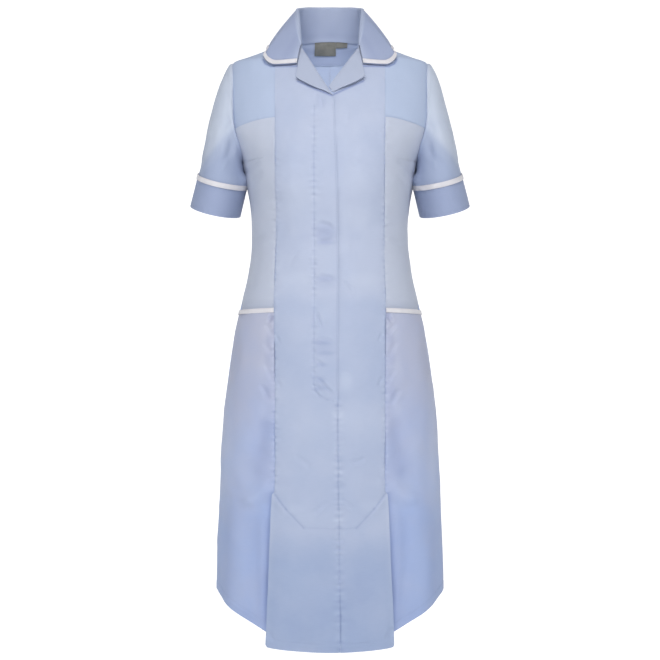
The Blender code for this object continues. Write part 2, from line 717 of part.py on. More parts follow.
def collar_columns():
    left = [collar_column(row) for row in COLLAR]
    right = [[Vector((-p.x, p.y, p.z)) for p in column] for column in left[:-1]]
    return left + right[::-1]


def grid_normals(columns):
    """Normals of a sheet given by columns of points, pointing away from the fold's hidden side."""
    normals = []
    for c, column in enumerate(columns):
        before, after = columns[max(c - 1, 0)], columns[min(c + 1, len(columns) - 1)]
        line = []
        for r in range(len(column)):
            up, down = column[max(r - 1, 0)], column[min(r + 1, len(column) - 1)]
            line.append((down - up).cross(after[r] - before[r]).normalized())
        normals.append(line)
    return normals


def collar_rows(first, out, cloth):
    """The collar's columns from one of their points on, moved out, as a wall."""
    columns = collar_columns()
    normals = grid_normals(columns)
    rows = []
    for r in range(first, len(columns[0])):
        rows.append([(column[r] + line[r] * out, column[r] + line[r] * (out - cloth))
                     for column, line in zip(columns, normals)])
    return rows


def lapel(corners, side):
    """A lapel, turned back from its fold line and lying on the front."""
    rows = []
    for down in shares(7):
        row = []
        for across in shares(5):
            top = [mix(a, b, across) for a, b in zip(corners.fold, corners.notch)]
            low = [mix(a, b, across) for a, b in zip(corners.foot, corners.point)]
            x, z = (mix(a, b, down) for a, b in zip(top, low))
            relief = DOUBLE_CLOTH + LAPEL_UNDER + (0.0012 + LAPEL_CURL * down) * across
            relief += centre_relief(x, z, side < 0)
            row.append(wall(turn_at(x, z), z, relief, DOUBLE_CLOTH))
        rows.append(row)
    return rows


def build():
    for old in list(bpy.data.objects):
        bpy.data.objects.remove(old)
    blue = material("poly_cotton", BLUE)
    yoke_blue = material("yoke_poly_cotton", YOKE_BLUE)
    white = material("white_braid", WHITE, 0.75)
    grey = material("label_grey", LABEL_GREY, 0.7)

    cloth_solid("front_centre_right", centre_panel(-1), blue)
    cloth_solid("front_centre_left", centre_panel(1), blue)
    pairs = [
        ("front_yoke", yoke(), yoke_blue, False),
        ("side_front", side_bodice(), blue, False),
        ("side_skirt", side_skirt(), blue, False),
        ("pocket_braid", pocket_braid(), white, False),
        ("sleeve", sleeve(), blue, True),
        ("cuff", cuff_band((CUFF_HEIGHT, CUFF_HEIGHT / 2, 0.0), CUFF_OUT, CLOTH), blue, True),
        ("cuff_braid", cuff_band((CUFF_HEIGHT + 0.004, CUFF_HEIGHT - 0.0045),
                                 CUFF_OUT + LIFT + BRAID, BRAID), white, True),
    ]
    for name, rows, finish, ring in pairs:
        cloth_solid(name + "_left", rows, finish, ring)
        cloth_solid(name + "_right", mirrored(rows), finish, ring)
    cloth_solid("back_left", back_panel(1), blue)
    cloth_solid("back_right", back_panel(-1), blue)
    cloth_solid("back_neck_facing", neck_facing(), blue)
    cloth_solid("neck_label", neck_label(LABEL, 5), grey)
    cloth_solid("size_tab", neck_label(SIZE_TAB, 4), grey)
    cloth_solid("collar", collar_rows(0, 0.0, COLLAR_CLOTH), blue)
    cloth_solid("collar_braid", collar_rows(9, LIFT + BRAID, BRAID), white)
    cloth_solid("lapel_right", lapel(RIGHT_LAPEL, -1), blue)
    cloth_solid("lapel_left", lapel(LEFT_LAPEL, 1), blue)


build()
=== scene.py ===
import math

import bmesh
import bpy
import numpy as np
from mathutils import Matrix, Vector, noise
from mathutils.bvhtree import BVHTree


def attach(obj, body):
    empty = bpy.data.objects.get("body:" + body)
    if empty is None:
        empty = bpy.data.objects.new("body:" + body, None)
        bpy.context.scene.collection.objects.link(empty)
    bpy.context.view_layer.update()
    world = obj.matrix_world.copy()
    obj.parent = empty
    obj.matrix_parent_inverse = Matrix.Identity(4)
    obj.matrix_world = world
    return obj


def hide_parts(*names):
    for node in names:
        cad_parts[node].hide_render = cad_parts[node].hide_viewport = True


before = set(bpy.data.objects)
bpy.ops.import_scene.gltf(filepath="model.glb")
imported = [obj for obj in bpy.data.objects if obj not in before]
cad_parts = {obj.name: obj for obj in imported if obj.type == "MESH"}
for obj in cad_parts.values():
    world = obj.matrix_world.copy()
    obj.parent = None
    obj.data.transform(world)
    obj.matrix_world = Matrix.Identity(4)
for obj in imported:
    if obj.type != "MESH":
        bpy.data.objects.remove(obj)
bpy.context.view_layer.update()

bpy.context.scene.view_settings.view_transform = "Standard"

# Metres, +Z up, the wearer faces -Y. A place on the dress is a turn in degrees (0 centre front,
# 90 the wearer's left side seam, 180 centre back) and a height.
seamGap = 0.00004  # sewn edges meet

bodyTable = {
    "height": [0.0300, 0.0134, 0.0010, -0.0100, -0.0220, -0.0320, -0.0396, -0.0500, -0.0650, -0.0850,
               -0.1050, -0.1300, -0.1550, -0.1875, -0.2133, -0.2528, -0.2976, -0.3300, -0.3630,
               -0.4042, -0.4455, -0.4868, -0.5280, -0.5690, -0.6106, -0.6520, -0.7140, -0.7960,
               -0.8790, -0.9440, -1.0300],
    "halfWidth": [0.0640, 0.0665, 0.0680, 0.0885, 0.1180, 0.1455, 0.1668, 0.1718, 0.1760, 0.1797,
                  0.1820, 0.1820, 0.1775, 0.1620, 0.1500, 0.1425, 0.1350, 0.1333, 0.1350, 0.1410,
                  0.1505, 0.1600, 0.1677, 0.1737, 0.1789, 0.1832, 0.1866, 0.1900, 0.1935, 0.1950,
                  0.1965],
    "front": [0.0500, 0.0510, 0.0520, 0.0565, 0.0625, 0.0680, 0.0725, 0.0780, 0.0855, 0.0945, 0.1025,
              0.1110, 0.1180, 0.1240, 0.1270, 0.1265, 0.1195, 0.1140, 0.1110, 0.1110, 0.1125,
              0.1150, 0.1180, 0.1205, 0.1230, 0.1255, 0.1285, 0.1320, 0.1355, 0.1380, 0.1405],
    "back": [0.0640, 0.0665, 0.0700, 0.0755, 0.0810, 0.0850, 0.0880, 0.0910, 0.0945, 0.0980, 0.1005,
             0.1020, 0.1025, 0.1010, 0.0985, 0.0925, 0.0840, 0.0805, 0.0820, 0.0885, 0.0965,
             0.1045, 0.1110, 0.1160, 0.1195, 0.1220, 0.1245, 0.1270, 0.1290, 0.1305, 0.1320],
}
princessTable = {
    "height": [0.0010, -0.1447, -0.2500, -0.3300, -0.4600, -0.6200, -0.7610, -0.7675, -0.8200, -0.9200,
               -1.0300],
    "centre": [0.0925, 0.0912, 0.0903, 0.0903, 0.0928, 0.0910, 0.0910, 0.0948, 0.0972, 0.1008, 0.1048],
    "side": [0.09255, 0.09125, 0.09035, 0.09035, 0.09285, 0.09105, 0.09105, 0.0905, 0.0860, 0.0780,
             0.0740],
}
frontEdgeTable = {
    "height": [-0.0200, -0.1080, -0.1180, -0.2600, -0.4000, -0.5750, -0.6000, -0.8000, -1.0300],
    "over": [-0.0487, 0.0038, 0.0066, 0.0122, 0.0135, 0.0128, 0.0126, 0.0145, 0.0170],
    "under": [0.0487, 0.0044, -0.0054, 0.0002, 0.0015, 0.0008, 0.01265, 0.01455, 0.01705],
}
shape = {
    "squareness": 0.12,
    "bustOut": 0.0090, "bustAcross": 0.0780, "bustHeight": -0.2280,
    "bustHalfWidth": 0.0480, "bustHalfHeight": 0.0620,
    "neckTop": 0.0010, "napeRise": 0.0124, "neckFrontTurn": 24.0, "neckFrontDrop": 0.0210,
    "shoulderTip": -0.0396, "underarm": -0.2133, "frontScoop": 26.5, "backScoop": 24.0,
    "overlapRise": 0.0012, "overlapDrop": 0.0010, "flyWidth": 0.0400, "underWidth": 0.0240,
    "flyEnd": -0.6000,
    "pleatTop": -0.7630, "pleatStepFrom": -0.7300, "pleatStep": 0.0011, "pleatReach": 0.0650,
    "pleatRise": 0.0055, "pleatDrop": 0.0070,
    "yokeAtPrincess": -0.1447, "yokeAtArmhole": -0.1580,
    "pocketAtFront": -0.4607, "pocketAtSide": -0.4645, "pocketDepth": 0.170,
    "hemSide": -0.9400, "hemDip": 0.0785, "hemPower": 2.3, "hemCentre": -1.0227, "hemCentreRise": 0.0070,
    "hemRowsFrom": -0.8000,
}
skirtFolds = {  # soft vertical folds: ridges stand out, hollows go in, and they grow to the hem
    "turn": [40, 56, 73, 104, 124, 143, 162, -40, -57, -74, -106, -127, -146, -165],
    "halfTurn": [7, 8, 7, 9, 9, 8, 8, 7, 8, 7, 9, 9, 8, 8],
    "out": [-0.0040, 0.0035, -0.0012, 0.0040, -0.0055, 0.0060, -0.0045,
            -0.0040, 0.0035, -0.0012, 0.0045, -0.0050, 0.0055, -0.0040],
    "starts": [-0.62, -0.56, -0.64, -0.56, -0.52, -0.50, -0.56, -0.62, -0.55, -0.65, -0.54, -0.54,
               -0.51, -0.58],
}


def mix(a, b, share):
    return a + (b - a) * share


def smooth(share):
    share = np.clip(share, 0, 1)
    return share * share * (3 - 2 * share)


def curveOf(table, column):
    z, p = np.array(table["height"], float), np.array(table[column], float)
    secant = np.diff(p) / np.diff(z)
    above, below = secant[:-1], secant[1:]
    turning = above * below <= 0
    slope = np.empty(len(z))
    slope[0], slope[-1] = secant[0], secant[-1]
    slope[1:-1] = np.where(turning, 0, 2 * above * below / np.where(turning, 1, above + below))
    fine = np.arange(z[-1], z[0] + 0.0005, 0.0005)
    k = np.clip(np.searchsorted(-z, -fine) - 1, 0, len(z) - 2)
    span = z[k] - z[k + 1]
    s = np.clip((fine - z[k + 1]) / span, 0, 1)
    value = p[k + 1] + (p[k] - p[k + 1]) * s * s * (3 - 2 * s)
    value += span * slope[k + 1] * s * (1 - s) ** 2 + span * slope[k] * s * s * (s - 1)
    return lambda at: np.interp(at, fine, value)


def straightOf(table, column):
    z, p = np.array(table["height"][::-1]), np.array(table[column][::-1])
    return lambda at: np.interp(at, z, p)


halfWidth, frontDepth, backDepth = (curveOf(bodyTable, c) for c in ("halfWidth", "front", "back"))
princessCentre, princessSide = (curveOf(princessTable, c) for c in ("centre", "side"))
overEdge, underEdge = (straightOf(frontEdgeTable, c) for c in ("over", "under"))


def facePoint(turn, z):
    a = np.radians(turn)
    forward = np.cos(a)
    x = halfWidth(z) * np.sin(a)
    depth = np.where(forward > 0, frontDepth(z), backDepth(z))
    y = -depth * forward * (1 + shape["squareness"] * np.sin(a) ** 2)
    across = (np.abs(x) - shape["bustAcross"]) / shape["bustHalfWidth"]
    up = (z - shape["bustHeight"]) / shape["bustHalfHeight"]
    y = y - shape["bustOut"] * np.maximum(forward, 0) * np.exp(-across ** 2 - up ** 2)
    return np.stack(np.broadcast_arrays(x, y, z), -1)


def unit(vectors):
    return vectors / (np.linalg.norm(vectors, axis=-1, keepdims=True) + 1e-12)


def faceNormal(turn, z):
    along = facePoint(turn + 0.3, z) - facePoint(turn - 0.3, z)
    up = facePoint(turn, z + 0.0006) - facePoint(turn, z - 0.0006)
    return unit(np.cross(along, up))


def foldRelief(turn, z):
    out = 0.0
    for at, half, height, starts in zip(*(skirtFolds[k] for k in ("turn", "halfTurn", "out", "starts"))):
        away = (turn - at + 180) % 360 - 180
        out = out + height * smooth((starts - z) / (starts - shape["hemCentre"])) * np.exp(-(away / half) ** 2)
    return out


def turnAt(x, z):
    return np.degrees(np.arcsin(np.clip(x / halfWidth(z), -1, 1)))


def seamTurn(z):
    return np.degrees(seamGap / 2 / frontDepth(z))


def armholeTurn(z, scoop):
    middle = (shape["shoulderTip"] + shape["underarm"]) / 2
    half = (shape["shoulderTip"] - shape["underarm"]) / 2
    return scoop * np.sqrt(np.maximum(0, 1 - ((z - middle) / half) ** 2)) ** 0.7


def sideTurn(z, scoop):
    inArmhole = (z > shape["underarm"]) & (z < shape["shoulderTip"])
    return np.where(inArmhole, 90 - armholeTurn(z, scoop), 90 - seamTurn(z))


ridgeHeights = np.linspace(shape["shoulderTip"], shape["neckTop"], 120)
ridgeWidths = halfWidth(ridgeHeights)


def shoulderHeight(x):
    return np.interp(x, ridgeWidths[::-1], ridgeHeights[::-1])


def neckHeight(turn):
    front = shape["neckTop"] - shape["neckFrontDrop"] * (
        np.maximum(0, 90 - turn) / (90 - shape["neckFrontTurn"])) ** 1.9
    back = shape["neckTop"] + shape["napeRise"] * np.cos(np.radians(turn)) ** 2
    return np.where(turn < 90, front, back)


def neckTurn(z):
    drop = np.maximum(0, shape["neckTop"] - z) / shape["neckFrontDrop"]
    return 90 - (90 - shape["neckFrontTurn"]) * drop ** (1 / 1.9)


def hemHeight(turn):
    return shape["hemSide"] - shape["hemDip"] * np.abs(np.cos(np.radians(turn))) ** shape["hemPower"]


def centreHemHeight(x):
    return shape["hemCentre"] + shape["hemCentreRise"] * (x / princessTable["centre"][-1]) ** 2


def yokeSeam(share):
    return mix(shape["yokeAtPrincess"], shape["yokeAtArmhole"], share ** 1.6)


def pocketMouth(share):
    return mix(shape["pocketAtFront"], shape["pocketAtSide"], share)


def pleatStep(z, atHem):
    above = shape["pleatStep"] * smooth((shape["pleatStepFrom"] - z) / (shape["pleatStepFrom"] - shape["pleatTop"]))
    below = mix(shape["pleatStep"], atHem, (shape["pleatTop"] - z) / (shape["pleatTop"] - shape["hemCentre"]))
    return np.where(z > shape["pleatTop"], above, below)


def centreRelief(x, z, over):
    grown = smooth((-0.088 - z) / 0.020) * (1 - smooth((shape["flyEnd"] - z) / 0.035))
    if over:
        relief = shape["overlapRise"] * grown * smooth(1 - (overEdge(z) - x) / shape["flyWidth"])
    else:
        relief = -shape["overlapDrop"] * grown * smooth(1 - (x - overEdge(z)) / shape["underWidth"])
    inside = princessCentre(z) - np.abs(x)
    return relief + pleatStep(z, shape["pleatRise"]) * smooth(1 - inside / shape["pleatReach"])


def sideRelief(turn, z):
    across = np.abs(halfWidth(z) * np.sin(np.radians(turn))) - princessSide(z)
    return -pleatStep(z, shape["pleatDrop"]) * smooth(1 - across / shape["pleatReach"])


def skirtRows(v, top, hem):
    # heights from a level top to a curved hem: level rows first, then fanned to the hem
    level = mix(top, shape["hemCentre"], v)
    fall = (shape["hemRowsFrom"] - level) / (shape["hemRowsFrom"] - shape["hemCentre"])
    return np.where(level > shape["hemRowsFrom"], level, mix(shape["hemRowsFrom"], hem, fall))


# Soft cloth detail, all in metres out of the face

def softNoise(points, size, seed):
    offset = Vector((seed * 3.71, seed * 1.93, seed * 7.17))
    return np.array([noise.noise(Vector(p) / size + offset) for p in points])


def crumple(points, seed, height=0.0010):
    broad = softNoise(points, 0.075, seed)
    small = softNoise(points, 0.024, seed + 5)
    return height * (2.1 * broad + 0.75 * small)


def pucker(along, away, seed, pitch=0.0055, reach=0.009, height=0.0012):
    wave = np.array([noise.noise(Vector((a / pitch, d / pitch * 0.35, seed))) for a, d in zip(along, away)])
    patchy = np.array([0.55 + 0.9 * noise.noise(Vector((a / 0.06, seed, 3.3))) for a in along])
    return height * wave * np.clip(patchy, 0.1, 1.3) * np.exp(-(away / reach) ** 2)


def groove(away, depth=0.00025, width=0.0018):
    return -depth * np.exp(-(away / width) ** 2)


def creases(x, z, table):
    # each row: from (x, z) to (x, z) in millimetres, half width, depth, sideways bend
    out = np.zeros_like(x)
    for x0, z0, x1, z1, half, depth, bend in table:
        a, b = np.array([x0, z0]) / 1000, np.array([x1, z1]) / 1000
        run = b - a
        length = float(np.hypot(*run))
        along = ((x - a[0]) * run[0] + (z - a[1]) * run[1]) / length ** 2
        away = ((x - a[0]) * -run[1] + (z - a[1]) * run[0]) / length
        away = (away - bend / 1000 * 4 * along * (1 - along)) / (half / 1000)
        fade = smooth(along / 0.3) * smooth((1 - along) / 0.3)
        profile = np.exp(-away ** 2) - 0.38 * np.exp(-(away - 1.9) ** 2) - 0.38 * np.exp(-(away + 1.9) ** 2)
        out = out - depth * 2.0 / 1000 * fade * profile
    return out


# Making a piece: a grid laid over the dress, then given its wall

made = {}


def finishMesh(bm, name, normals, material, cloth, uvs, shades, closed):
    bm.normal_update()
    facing = sum(v.normal.dot(Vector(n)) for v, n in zip(bm.verts, normals))
    if facing < 0:
        bmesh.ops.reverse_faces(bm, faces=bm.faces)
    layer = bm.loops.layers.uv.new("cut")
    tone = bm.verts.layers.float.new("shade")
    for vert in bm.verts:
        vert[tone] = shades[vert.index]
    for face in bm.faces:
        face.smooth = True
        for loop in face.loops:
            loop[layer].uv = uvs[loop.vert.index]
    if closed:
        bmesh.ops.remove_doubles(bm, verts=bm.verts, dist=0.00002)
    for edge in bm.edges:
        edge.smooth = not edge.is_boundary  # the cut edge stays crisp once the wall is on
    mesh = bpy.data.meshes.new(name)
    bm.to_mesh(mesh)
    bm.free()
    mesh.materials.append(material)
    piece = bpy.data.objects.new(name, mesh)
    bpy.context.scene.collection.objects.link(piece)
    mesh.materials.append(insideCloth if material in clothWithInside else material)
    wall = piece.modifiers.new("wall", "SOLIDIFY")
    wall.material_offset = 1
    wall.material_offset_rim = 0
    wall.thickness = cloth
    wall.offset = -1
    wall.use_even_offset = False
    return piece


def layPanel(name, across, down, place, material, cloth=0.0010, closed=False, shade=None):
    # place gives the points and the outward normals for shares across and down,
    # and shade the painted shade there, how much darker the cloth looks, 0.1 for a tenth, with painted light below
    # zero
    bm = bmesh.new()
    bmesh.ops.create_grid(bm, x_segments=across, y_segments=down, size=0.5)
    shares = np.array([v.co[:2] for v in bm.verts]) + 0.5
    u, v = shares[:, 0], 1 - shares[:, 1]
    points, normals = place(u, v)
    for vert, point in zip(bm.verts, points):
        vert.co = point
    width = float(np.median(np.linalg.norm(place(u * 0 + 0.52, v)[0] - place(u * 0 + 0.48, v)[0], axis=1)) / 0.04)
    length = float(np.median(np.linalg.norm(place(u, v * 0 + 0.52)[0] - place(u, v * 0 + 0.48)[0], axis=1)) / 0.04)
    uvs = np.stack([u * width, v * length], -1)
    bm.verts.index_update()
    shades = shade(points, u, v) if shade else u * 0
    return finishMesh(bm, name, normals, material, cloth, uvs, shades, closed)


def onBody(turn, z, relief):
    normal = faceNormal(turn, z)
    return facePoint(turn, z) + normal * relief[:, None], normal


def hold(piece, node):
    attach(piece, "root")
    if node:
        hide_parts(node)
    made[piece.name] = piece
    return piece


# Materials

def nodesOf(tree):
    def add(kind, **values):
        node = tree.nodes.new(kind)
        for key, value in values.items():
            if key in ("operation", "blend_type", "data_type", "bands_direction", "wave_type", "noise_dimensions"):
                setattr(node, key, value)
            else:
                node.inputs[key.replace("_", " ")].default_value = value
        return node
    return add


def buildWeaveGroup():
    group = bpy.data.node_groups.new("plainWeave", "ShaderNodeTree")
    group.interface.new_socket("UV", in_out="INPUT", socket_type="NodeSocketVector")
    group.interface.new_socket("Threads per metre", in_out="INPUT", socket_type="NodeSocketFloat")
    group.interface.new_socket("Height", in_out="OUTPUT", socket_type="NodeSocketFloat")
    group.interface.new_socket("Slub", in_out="OUTPUT", socket_type="NodeSocketFloat")
    add, link = nodesOf(group), group.links.new
    inside, outside = add("NodeGroupInput"), add("NodeGroupOutput")
    scaled = add("ShaderNodeVectorMath", operation="SCALE")
    link(inside.outputs["UV"], scaled.inputs[0])
    link(inside.outputs["Threads per metre"], scaled.inputs["Scale"])
    apart = add("ShaderNodeSeparateXYZ")
    link(scaled.outputs["Vector"], apart.inputs[0])
    waves = []
    for axis in ("X", "Y"):
        turned = add("ShaderNodeMath", operation="MULTIPLY")
        turned.inputs[1].default_value = math.pi
        link(apart.outputs[axis], turned.inputs[0])
        sine = add("ShaderNodeMath", operation="SINE")
        link(turned.outputs[0], sine.inputs[0])
        waves.append(sine)
    over = add("ShaderNodeMath", operation="MULTIPLY")  # warp over weft, then weft over warp
    link(waves[0].outputs[0], over.inputs[0])
    link(waves[1].outputs[0], over.inputs[1])
    link(over.outputs[0], outside.inputs["Height"])
    slub = add("ShaderNodeTexNoise", Scale=1.0, Detail=2.0)
    stretched = add("ShaderNodeVectorMath", operation="MULTIPLY")
    stretched.inputs[1].default_value = (0.03, 0.5, 1.0)
    link(scaled.outputs["Vector"], stretched.inputs[0])
    link(stretched.outputs["Vector"], slub.inputs["Vector"])
    link(slub.outputs["Fac"], outside.inputs["Slub"])
    return group


weaveGroup = buildWeaveGroup()


def clothMaterial(name, values):
    made = bpy.data.materials.new(name)
    made.use_nodes = True
    tree = made.node_tree
    shader = tree.nodes["Principled BSDF"]
    add, link = nodesOf(tree), tree.links.new
    shader.inputs["Sheen Weight"].default_value = values["sheen"]
    shader.inputs["Sheen Roughness"].default_value = 0.45
    shader.inputs["Sheen Tint"].default_value = (*values["sheenTint"], 1)
    shader.inputs["Specular IOR Level"].default_value = values["specular"]
    if "glow" in values:  # light that comes through the thin cloth
        shader.inputs["Emission Color"].default_value = (*values["glow"], 1)
        shader.inputs["Emission Strength"].default_value = values["glowPower"]
    where = add("ShaderNodeTexCoord")
    weave = tree.nodes.new("ShaderNodeGroup")
    weave.node_tree = weaveGroup
    weave.inputs["Threads per metre"].default_value = values["threads"]
    link(where.outputs["UV"], weave.inputs["UV"])
    mottle = add("ShaderNodeTexNoise", Scale=values["mottleScale"], Detail=3.0, Roughness=0.55)
    link(where.outputs["Object"], mottle.inputs["Vector"])
    spot = add("ShaderNodeSeparateXYZ")
    link(where.outputs["Object"], spot.inputs[0])
    height = spot.outputs["Z"]
    if "lean" in values:  # the painted shade's bands fall outwards from the armholes
        outward = add("ShaderNodeMath", operation="ABSOLUTE")
        link(spot.outputs["X"], outward.inputs[0])
        leaning = add("ShaderNodeMath", operation="MULTIPLY_ADD")
        leaning.inputs[1].default_value = values["lean"]
        link(outward.outputs[0], leaning.inputs[0])
        link(height, leaning.inputs[2])
        height = leaning.outputs[0]
    heightShadeRamp = tree.nodes.new("ShaderNodeValToRGB")  # painted light and shade by height: how deep the blue looks, from the hem up to the neck
    low, high = values["toneSpan"]
    heightShade = heightShadeRamp.color_ramp
    heightShade.interpolation = "EASE"
    places = [(place - low) / (high - low) for place, _ in values["heightShade"]]
    heightShade.elements[0].position, heightShade.elements[1].position = places[0], places[-1]
    for at in places[1:-1]:
        heightShade.elements.new(at)
    for stop, (_, deep) in zip(heightShade.elements, values["heightShade"]):
        stop.color = (deep, deep, deep, 1)
    ranged = add("ShaderNodeMapRange")
    ranged.inputs["From Min"].default_value = low
    ranged.inputs["From Max"].default_value = high
    link(height, ranged.inputs["Value"])
    link(ranged.outputs["Result"], heightShadeRamp.inputs["Fac"])
    blotch = add("ShaderNodeMapRange")
    blotch.inputs["From Min"].default_value = 0.3
    blotch.inputs["From Max"].default_value = 0.7
    blotch.inputs["To Min"].default_value = -values["blotch"]
    blotch.inputs["To Max"].default_value = values["blotch"]
    link(mottle.outputs["Fac"], blotch.inputs["Value"])
    tone = add("ShaderNodeMath", operation="ADD")
    link(heightShadeRamp.outputs["Color"], tone.inputs[0])
    link(blotch.outputs["Result"], tone.inputs[1])
    ramp = tree.nodes.new("ShaderNodeValToRGB")
    ramp.color_ramp.elements[0].color = (*values["pale"], 1)
    ramp.color_ramp.elements[1].color = (*values["deep"], 1)
    link(tone.outputs[0], ramp.inputs["Fac"])
    thread = add("ShaderNodeMapRange")
    thread.inputs["From Min"].default_value = 0.25
    thread.inputs["From Max"].default_value = 0.75
    thread.inputs["To Min"].default_value = 1 - values["slub"]
    thread.inputs["To Max"].default_value = 1 + values["slub"]
    link(weave.outputs["Slub"], thread.inputs["Value"])
    tinted = add("ShaderNodeVectorMath", operation="SCALE")
    link(ramp.outputs["Color"], tinted.inputs[0])
    link(thread.outputs["Result"], tinted.inputs["Scale"])
    shade = tree.nodes.new("ShaderNodeAttribute")  # a darker place is a bluer one
    shade.attribute_name = "shade"
    darker = add("ShaderNodeVectorMath", operation="SCALE")
    darker.inputs[0].default_value = (-1.0, -0.92, -0.55)
    link(shade.outputs["Fac"], darker.inputs["Scale"])
    shaded = add("ShaderNodeVectorMath", operation="MULTIPLY_ADD")
    link(tinted.outputs["Vector"], shaded.inputs[0])
    link(darker.outputs["Vector"], shaded.inputs[1])
    link(tinted.outputs["Vector"], shaded.inputs[2])
    link(shaded.outputs["Vector"], shader.inputs["Base Color"])
    rough = add("ShaderNodeMapRange")
    rough.inputs["To Min"].default_value = values["rough"] - 0.06
    rough.inputs["To Max"].default_value = values["rough"] + 0.06
    link(mottle.outputs["Fac"], rough.inputs["Value"])
    link(rough.outputs["Result"], shader.inputs["Roughness"])
    bump = tree.nodes.new("ShaderNodeBump")
    bump.inputs["Strength"].default_value = 1.0
    bump.inputs["Distance"].default_value = values["weaveHeight"]
    link(weave.outputs["Height"], bump.inputs["Height"])
    link(bump.outputs["Normal"], shader.inputs["Normal"])
    return made


# Copies of the one pale blue cloth, set lighter, greyer or bluer piece by piece: painted light and shade for how
# the lamps fall on each piece; the yokes, collar and cuffs are also doubled cloth, a deeper blue
flatTone = [(-1.03, 0.5), (0.08, 0.5)]
clothLook = {
    "pale": (0.415, 0.470, 0.615), "deep": (0.283, 0.355, 0.534), "mottleScale": 15.0, "blotch": 0.16,
    "toneSpan": (-1.03, 0.08),
    "heightShade": [(-1.03, 0.95), (-0.88, 0.85), (-0.81, 0.36), (-0.62, 0.32), (-0.46, 0.34), (-0.43, 0.06),
              (-0.30, 0.04), (-0.15, 0.14), (0.0, 0.14)],
    "sheen": 0.02, "sheenTint": (0.88, 0.92, 1.0), "specular": 0.30, "rough": 0.62,
    "threads": 2600.0, "slub": 0.020, "weaveHeight": 0.00004,
}
sleeveTone = dict(clothLook, pale=(0.468, 0.526, 0.640), deep=(0.312, 0.374, 0.535), lean=1.1,
                  heightShade=[(-1.03, 0.95), (-0.01, 0.95), (0.012, 0.75), (0.032, 0.12), (0.045, 0.03), (0.08, 0.0)])
sideTone = dict(clothLook, pale=(0.475, 0.520, 0.626), deep=(0.408, 0.456, 0.589),
                heightShade=[(-1.03, 0.5), (-0.40, 0.35), (-0.16, 0.30), (0.08, 0.1)])
skirtTone = dict(clothLook, pale=(0.422, 0.451, 0.586), deep=(0.317, 0.402, 0.642),
                 heightShade=[(-1.03, 0.9), (-0.82, 0.9), (-0.68, 0.55), (-0.52, 0.12), (-0.44, 0.0)])
backTone = dict(clothLook, pale=(0.440, 0.485, 0.605), deep=(0.317, 0.402, 0.635),
                heightShade=[(-1.03, 0.9), (-0.82, 0.85), (-0.68, 0.50), (-0.50, 0.18), (-0.20, 0.10), (0.0, 0.10)])
doubleLook = dict(clothLook, pale=(0.301, 0.357, 0.521), deep=(0.263, 0.320, 0.488), heightShade=flatTone)
collarTone = dict(doubleLook, pale=(0.320, 0.372, 0.532), deep=(0.279, 0.333, 0.499))
yokeLook = dict(clothLook, pale=(0.409, 0.482, 0.643), deep=(0.367, 0.447, 0.614), heightShade=flatTone)
insideLook = dict(clothLook, pale=(0.430, 0.500, 0.690), deep=(0.390, 0.465, 0.665), heightShade=flatTone,
                  glow=(0.33, 0.37, 0.39), glowPower=0.44)
facingLook = dict(insideLook, pale=(0.380, 0.445, 0.630), deep=(0.345, 0.410, 0.600), glowPower=0.21)
braidLook = {
    "pale": (0.720, 0.715, 0.760), "deep": (0.660, 0.660, 0.710), "mottleScale": 60.0, "blotch": 0.5,
    "toneSpan": (-1.03, 0.08), "heightShade": flatTone,
    "sheen": 0.08, "sheenTint": (1.0, 1.0, 1.0), "specular": 0.35, "rough": 0.62,
    "threads": 1500.0, "slub": 0.030, "weaveHeight": 0.00012,
}
labelLook = {
    "pale": (0.255, 0.250, 0.215), "deep": (0.200, 0.196, 0.168), "mottleScale": 80.0, "blotch": 0.5,
    "toneSpan": (-1.03, 0.08), "heightShade": flatTone,
    "sheen": 0.05, "sheenTint": (1.0, 1.0, 1.0), "specular": 0.45, "rough": 0.50,
    "threads": 2200.0, "slub": 0.050, "weaveHeight": 0.00006,
}
blueCloth = clothMaterial("paleBluePolyCotton", clothLook)
sideCloth = clothMaterial("sideBluePolyCotton", sideTone)
skirtCloth = clothMaterial("skirtBluePolyCotton", skirtTone)
sleeveCloth = clothMaterial("sleeveBluePolyCotton", sleeveTone)
backCloth = clothMaterial("backBluePolyCotton", backTone)
doubleCloth = clothMaterial("doubledBluePolyCotton", doubleLook)
collarCloth = clothMaterial("collarBluePolyCotton", collarTone)
yokeCloth = clothMaterial("yokeBluePolyCotton", yokeLook)
insideCloth = clothMaterial("insideBluePolyCotton", insideLook)
facingCloth = clothMaterial("facingBluePolyCotton", facingLook)
whiteBraid = clothMaterial("whiteBraid", braidLook)
labelSatin = clothMaterial("greyLabelSatin", labelLook)
blueThread = clothMaterial("blueThread", dict(doubleLook, weaveHeight=0.0))
yokeThread = clothMaterial("yokeThread", dict(yokeLook, weaveHeight=0.0))
whiteThread = clothMaterial("whiteThread", dict(braidLook, weaveHeight=0.0))
lapelCloth = clothMaterial("lapelBluePolyCotton", dict(yokeLook, pale=(0.392, 0.440, 0.568), deep=(0.358, 0.410, 0.545)))
clothWithInside = [blueCloth, sideCloth, skirtCloth, backCloth, sleeveCloth, yokeCloth]
print("materials made")

# The two centre fronts

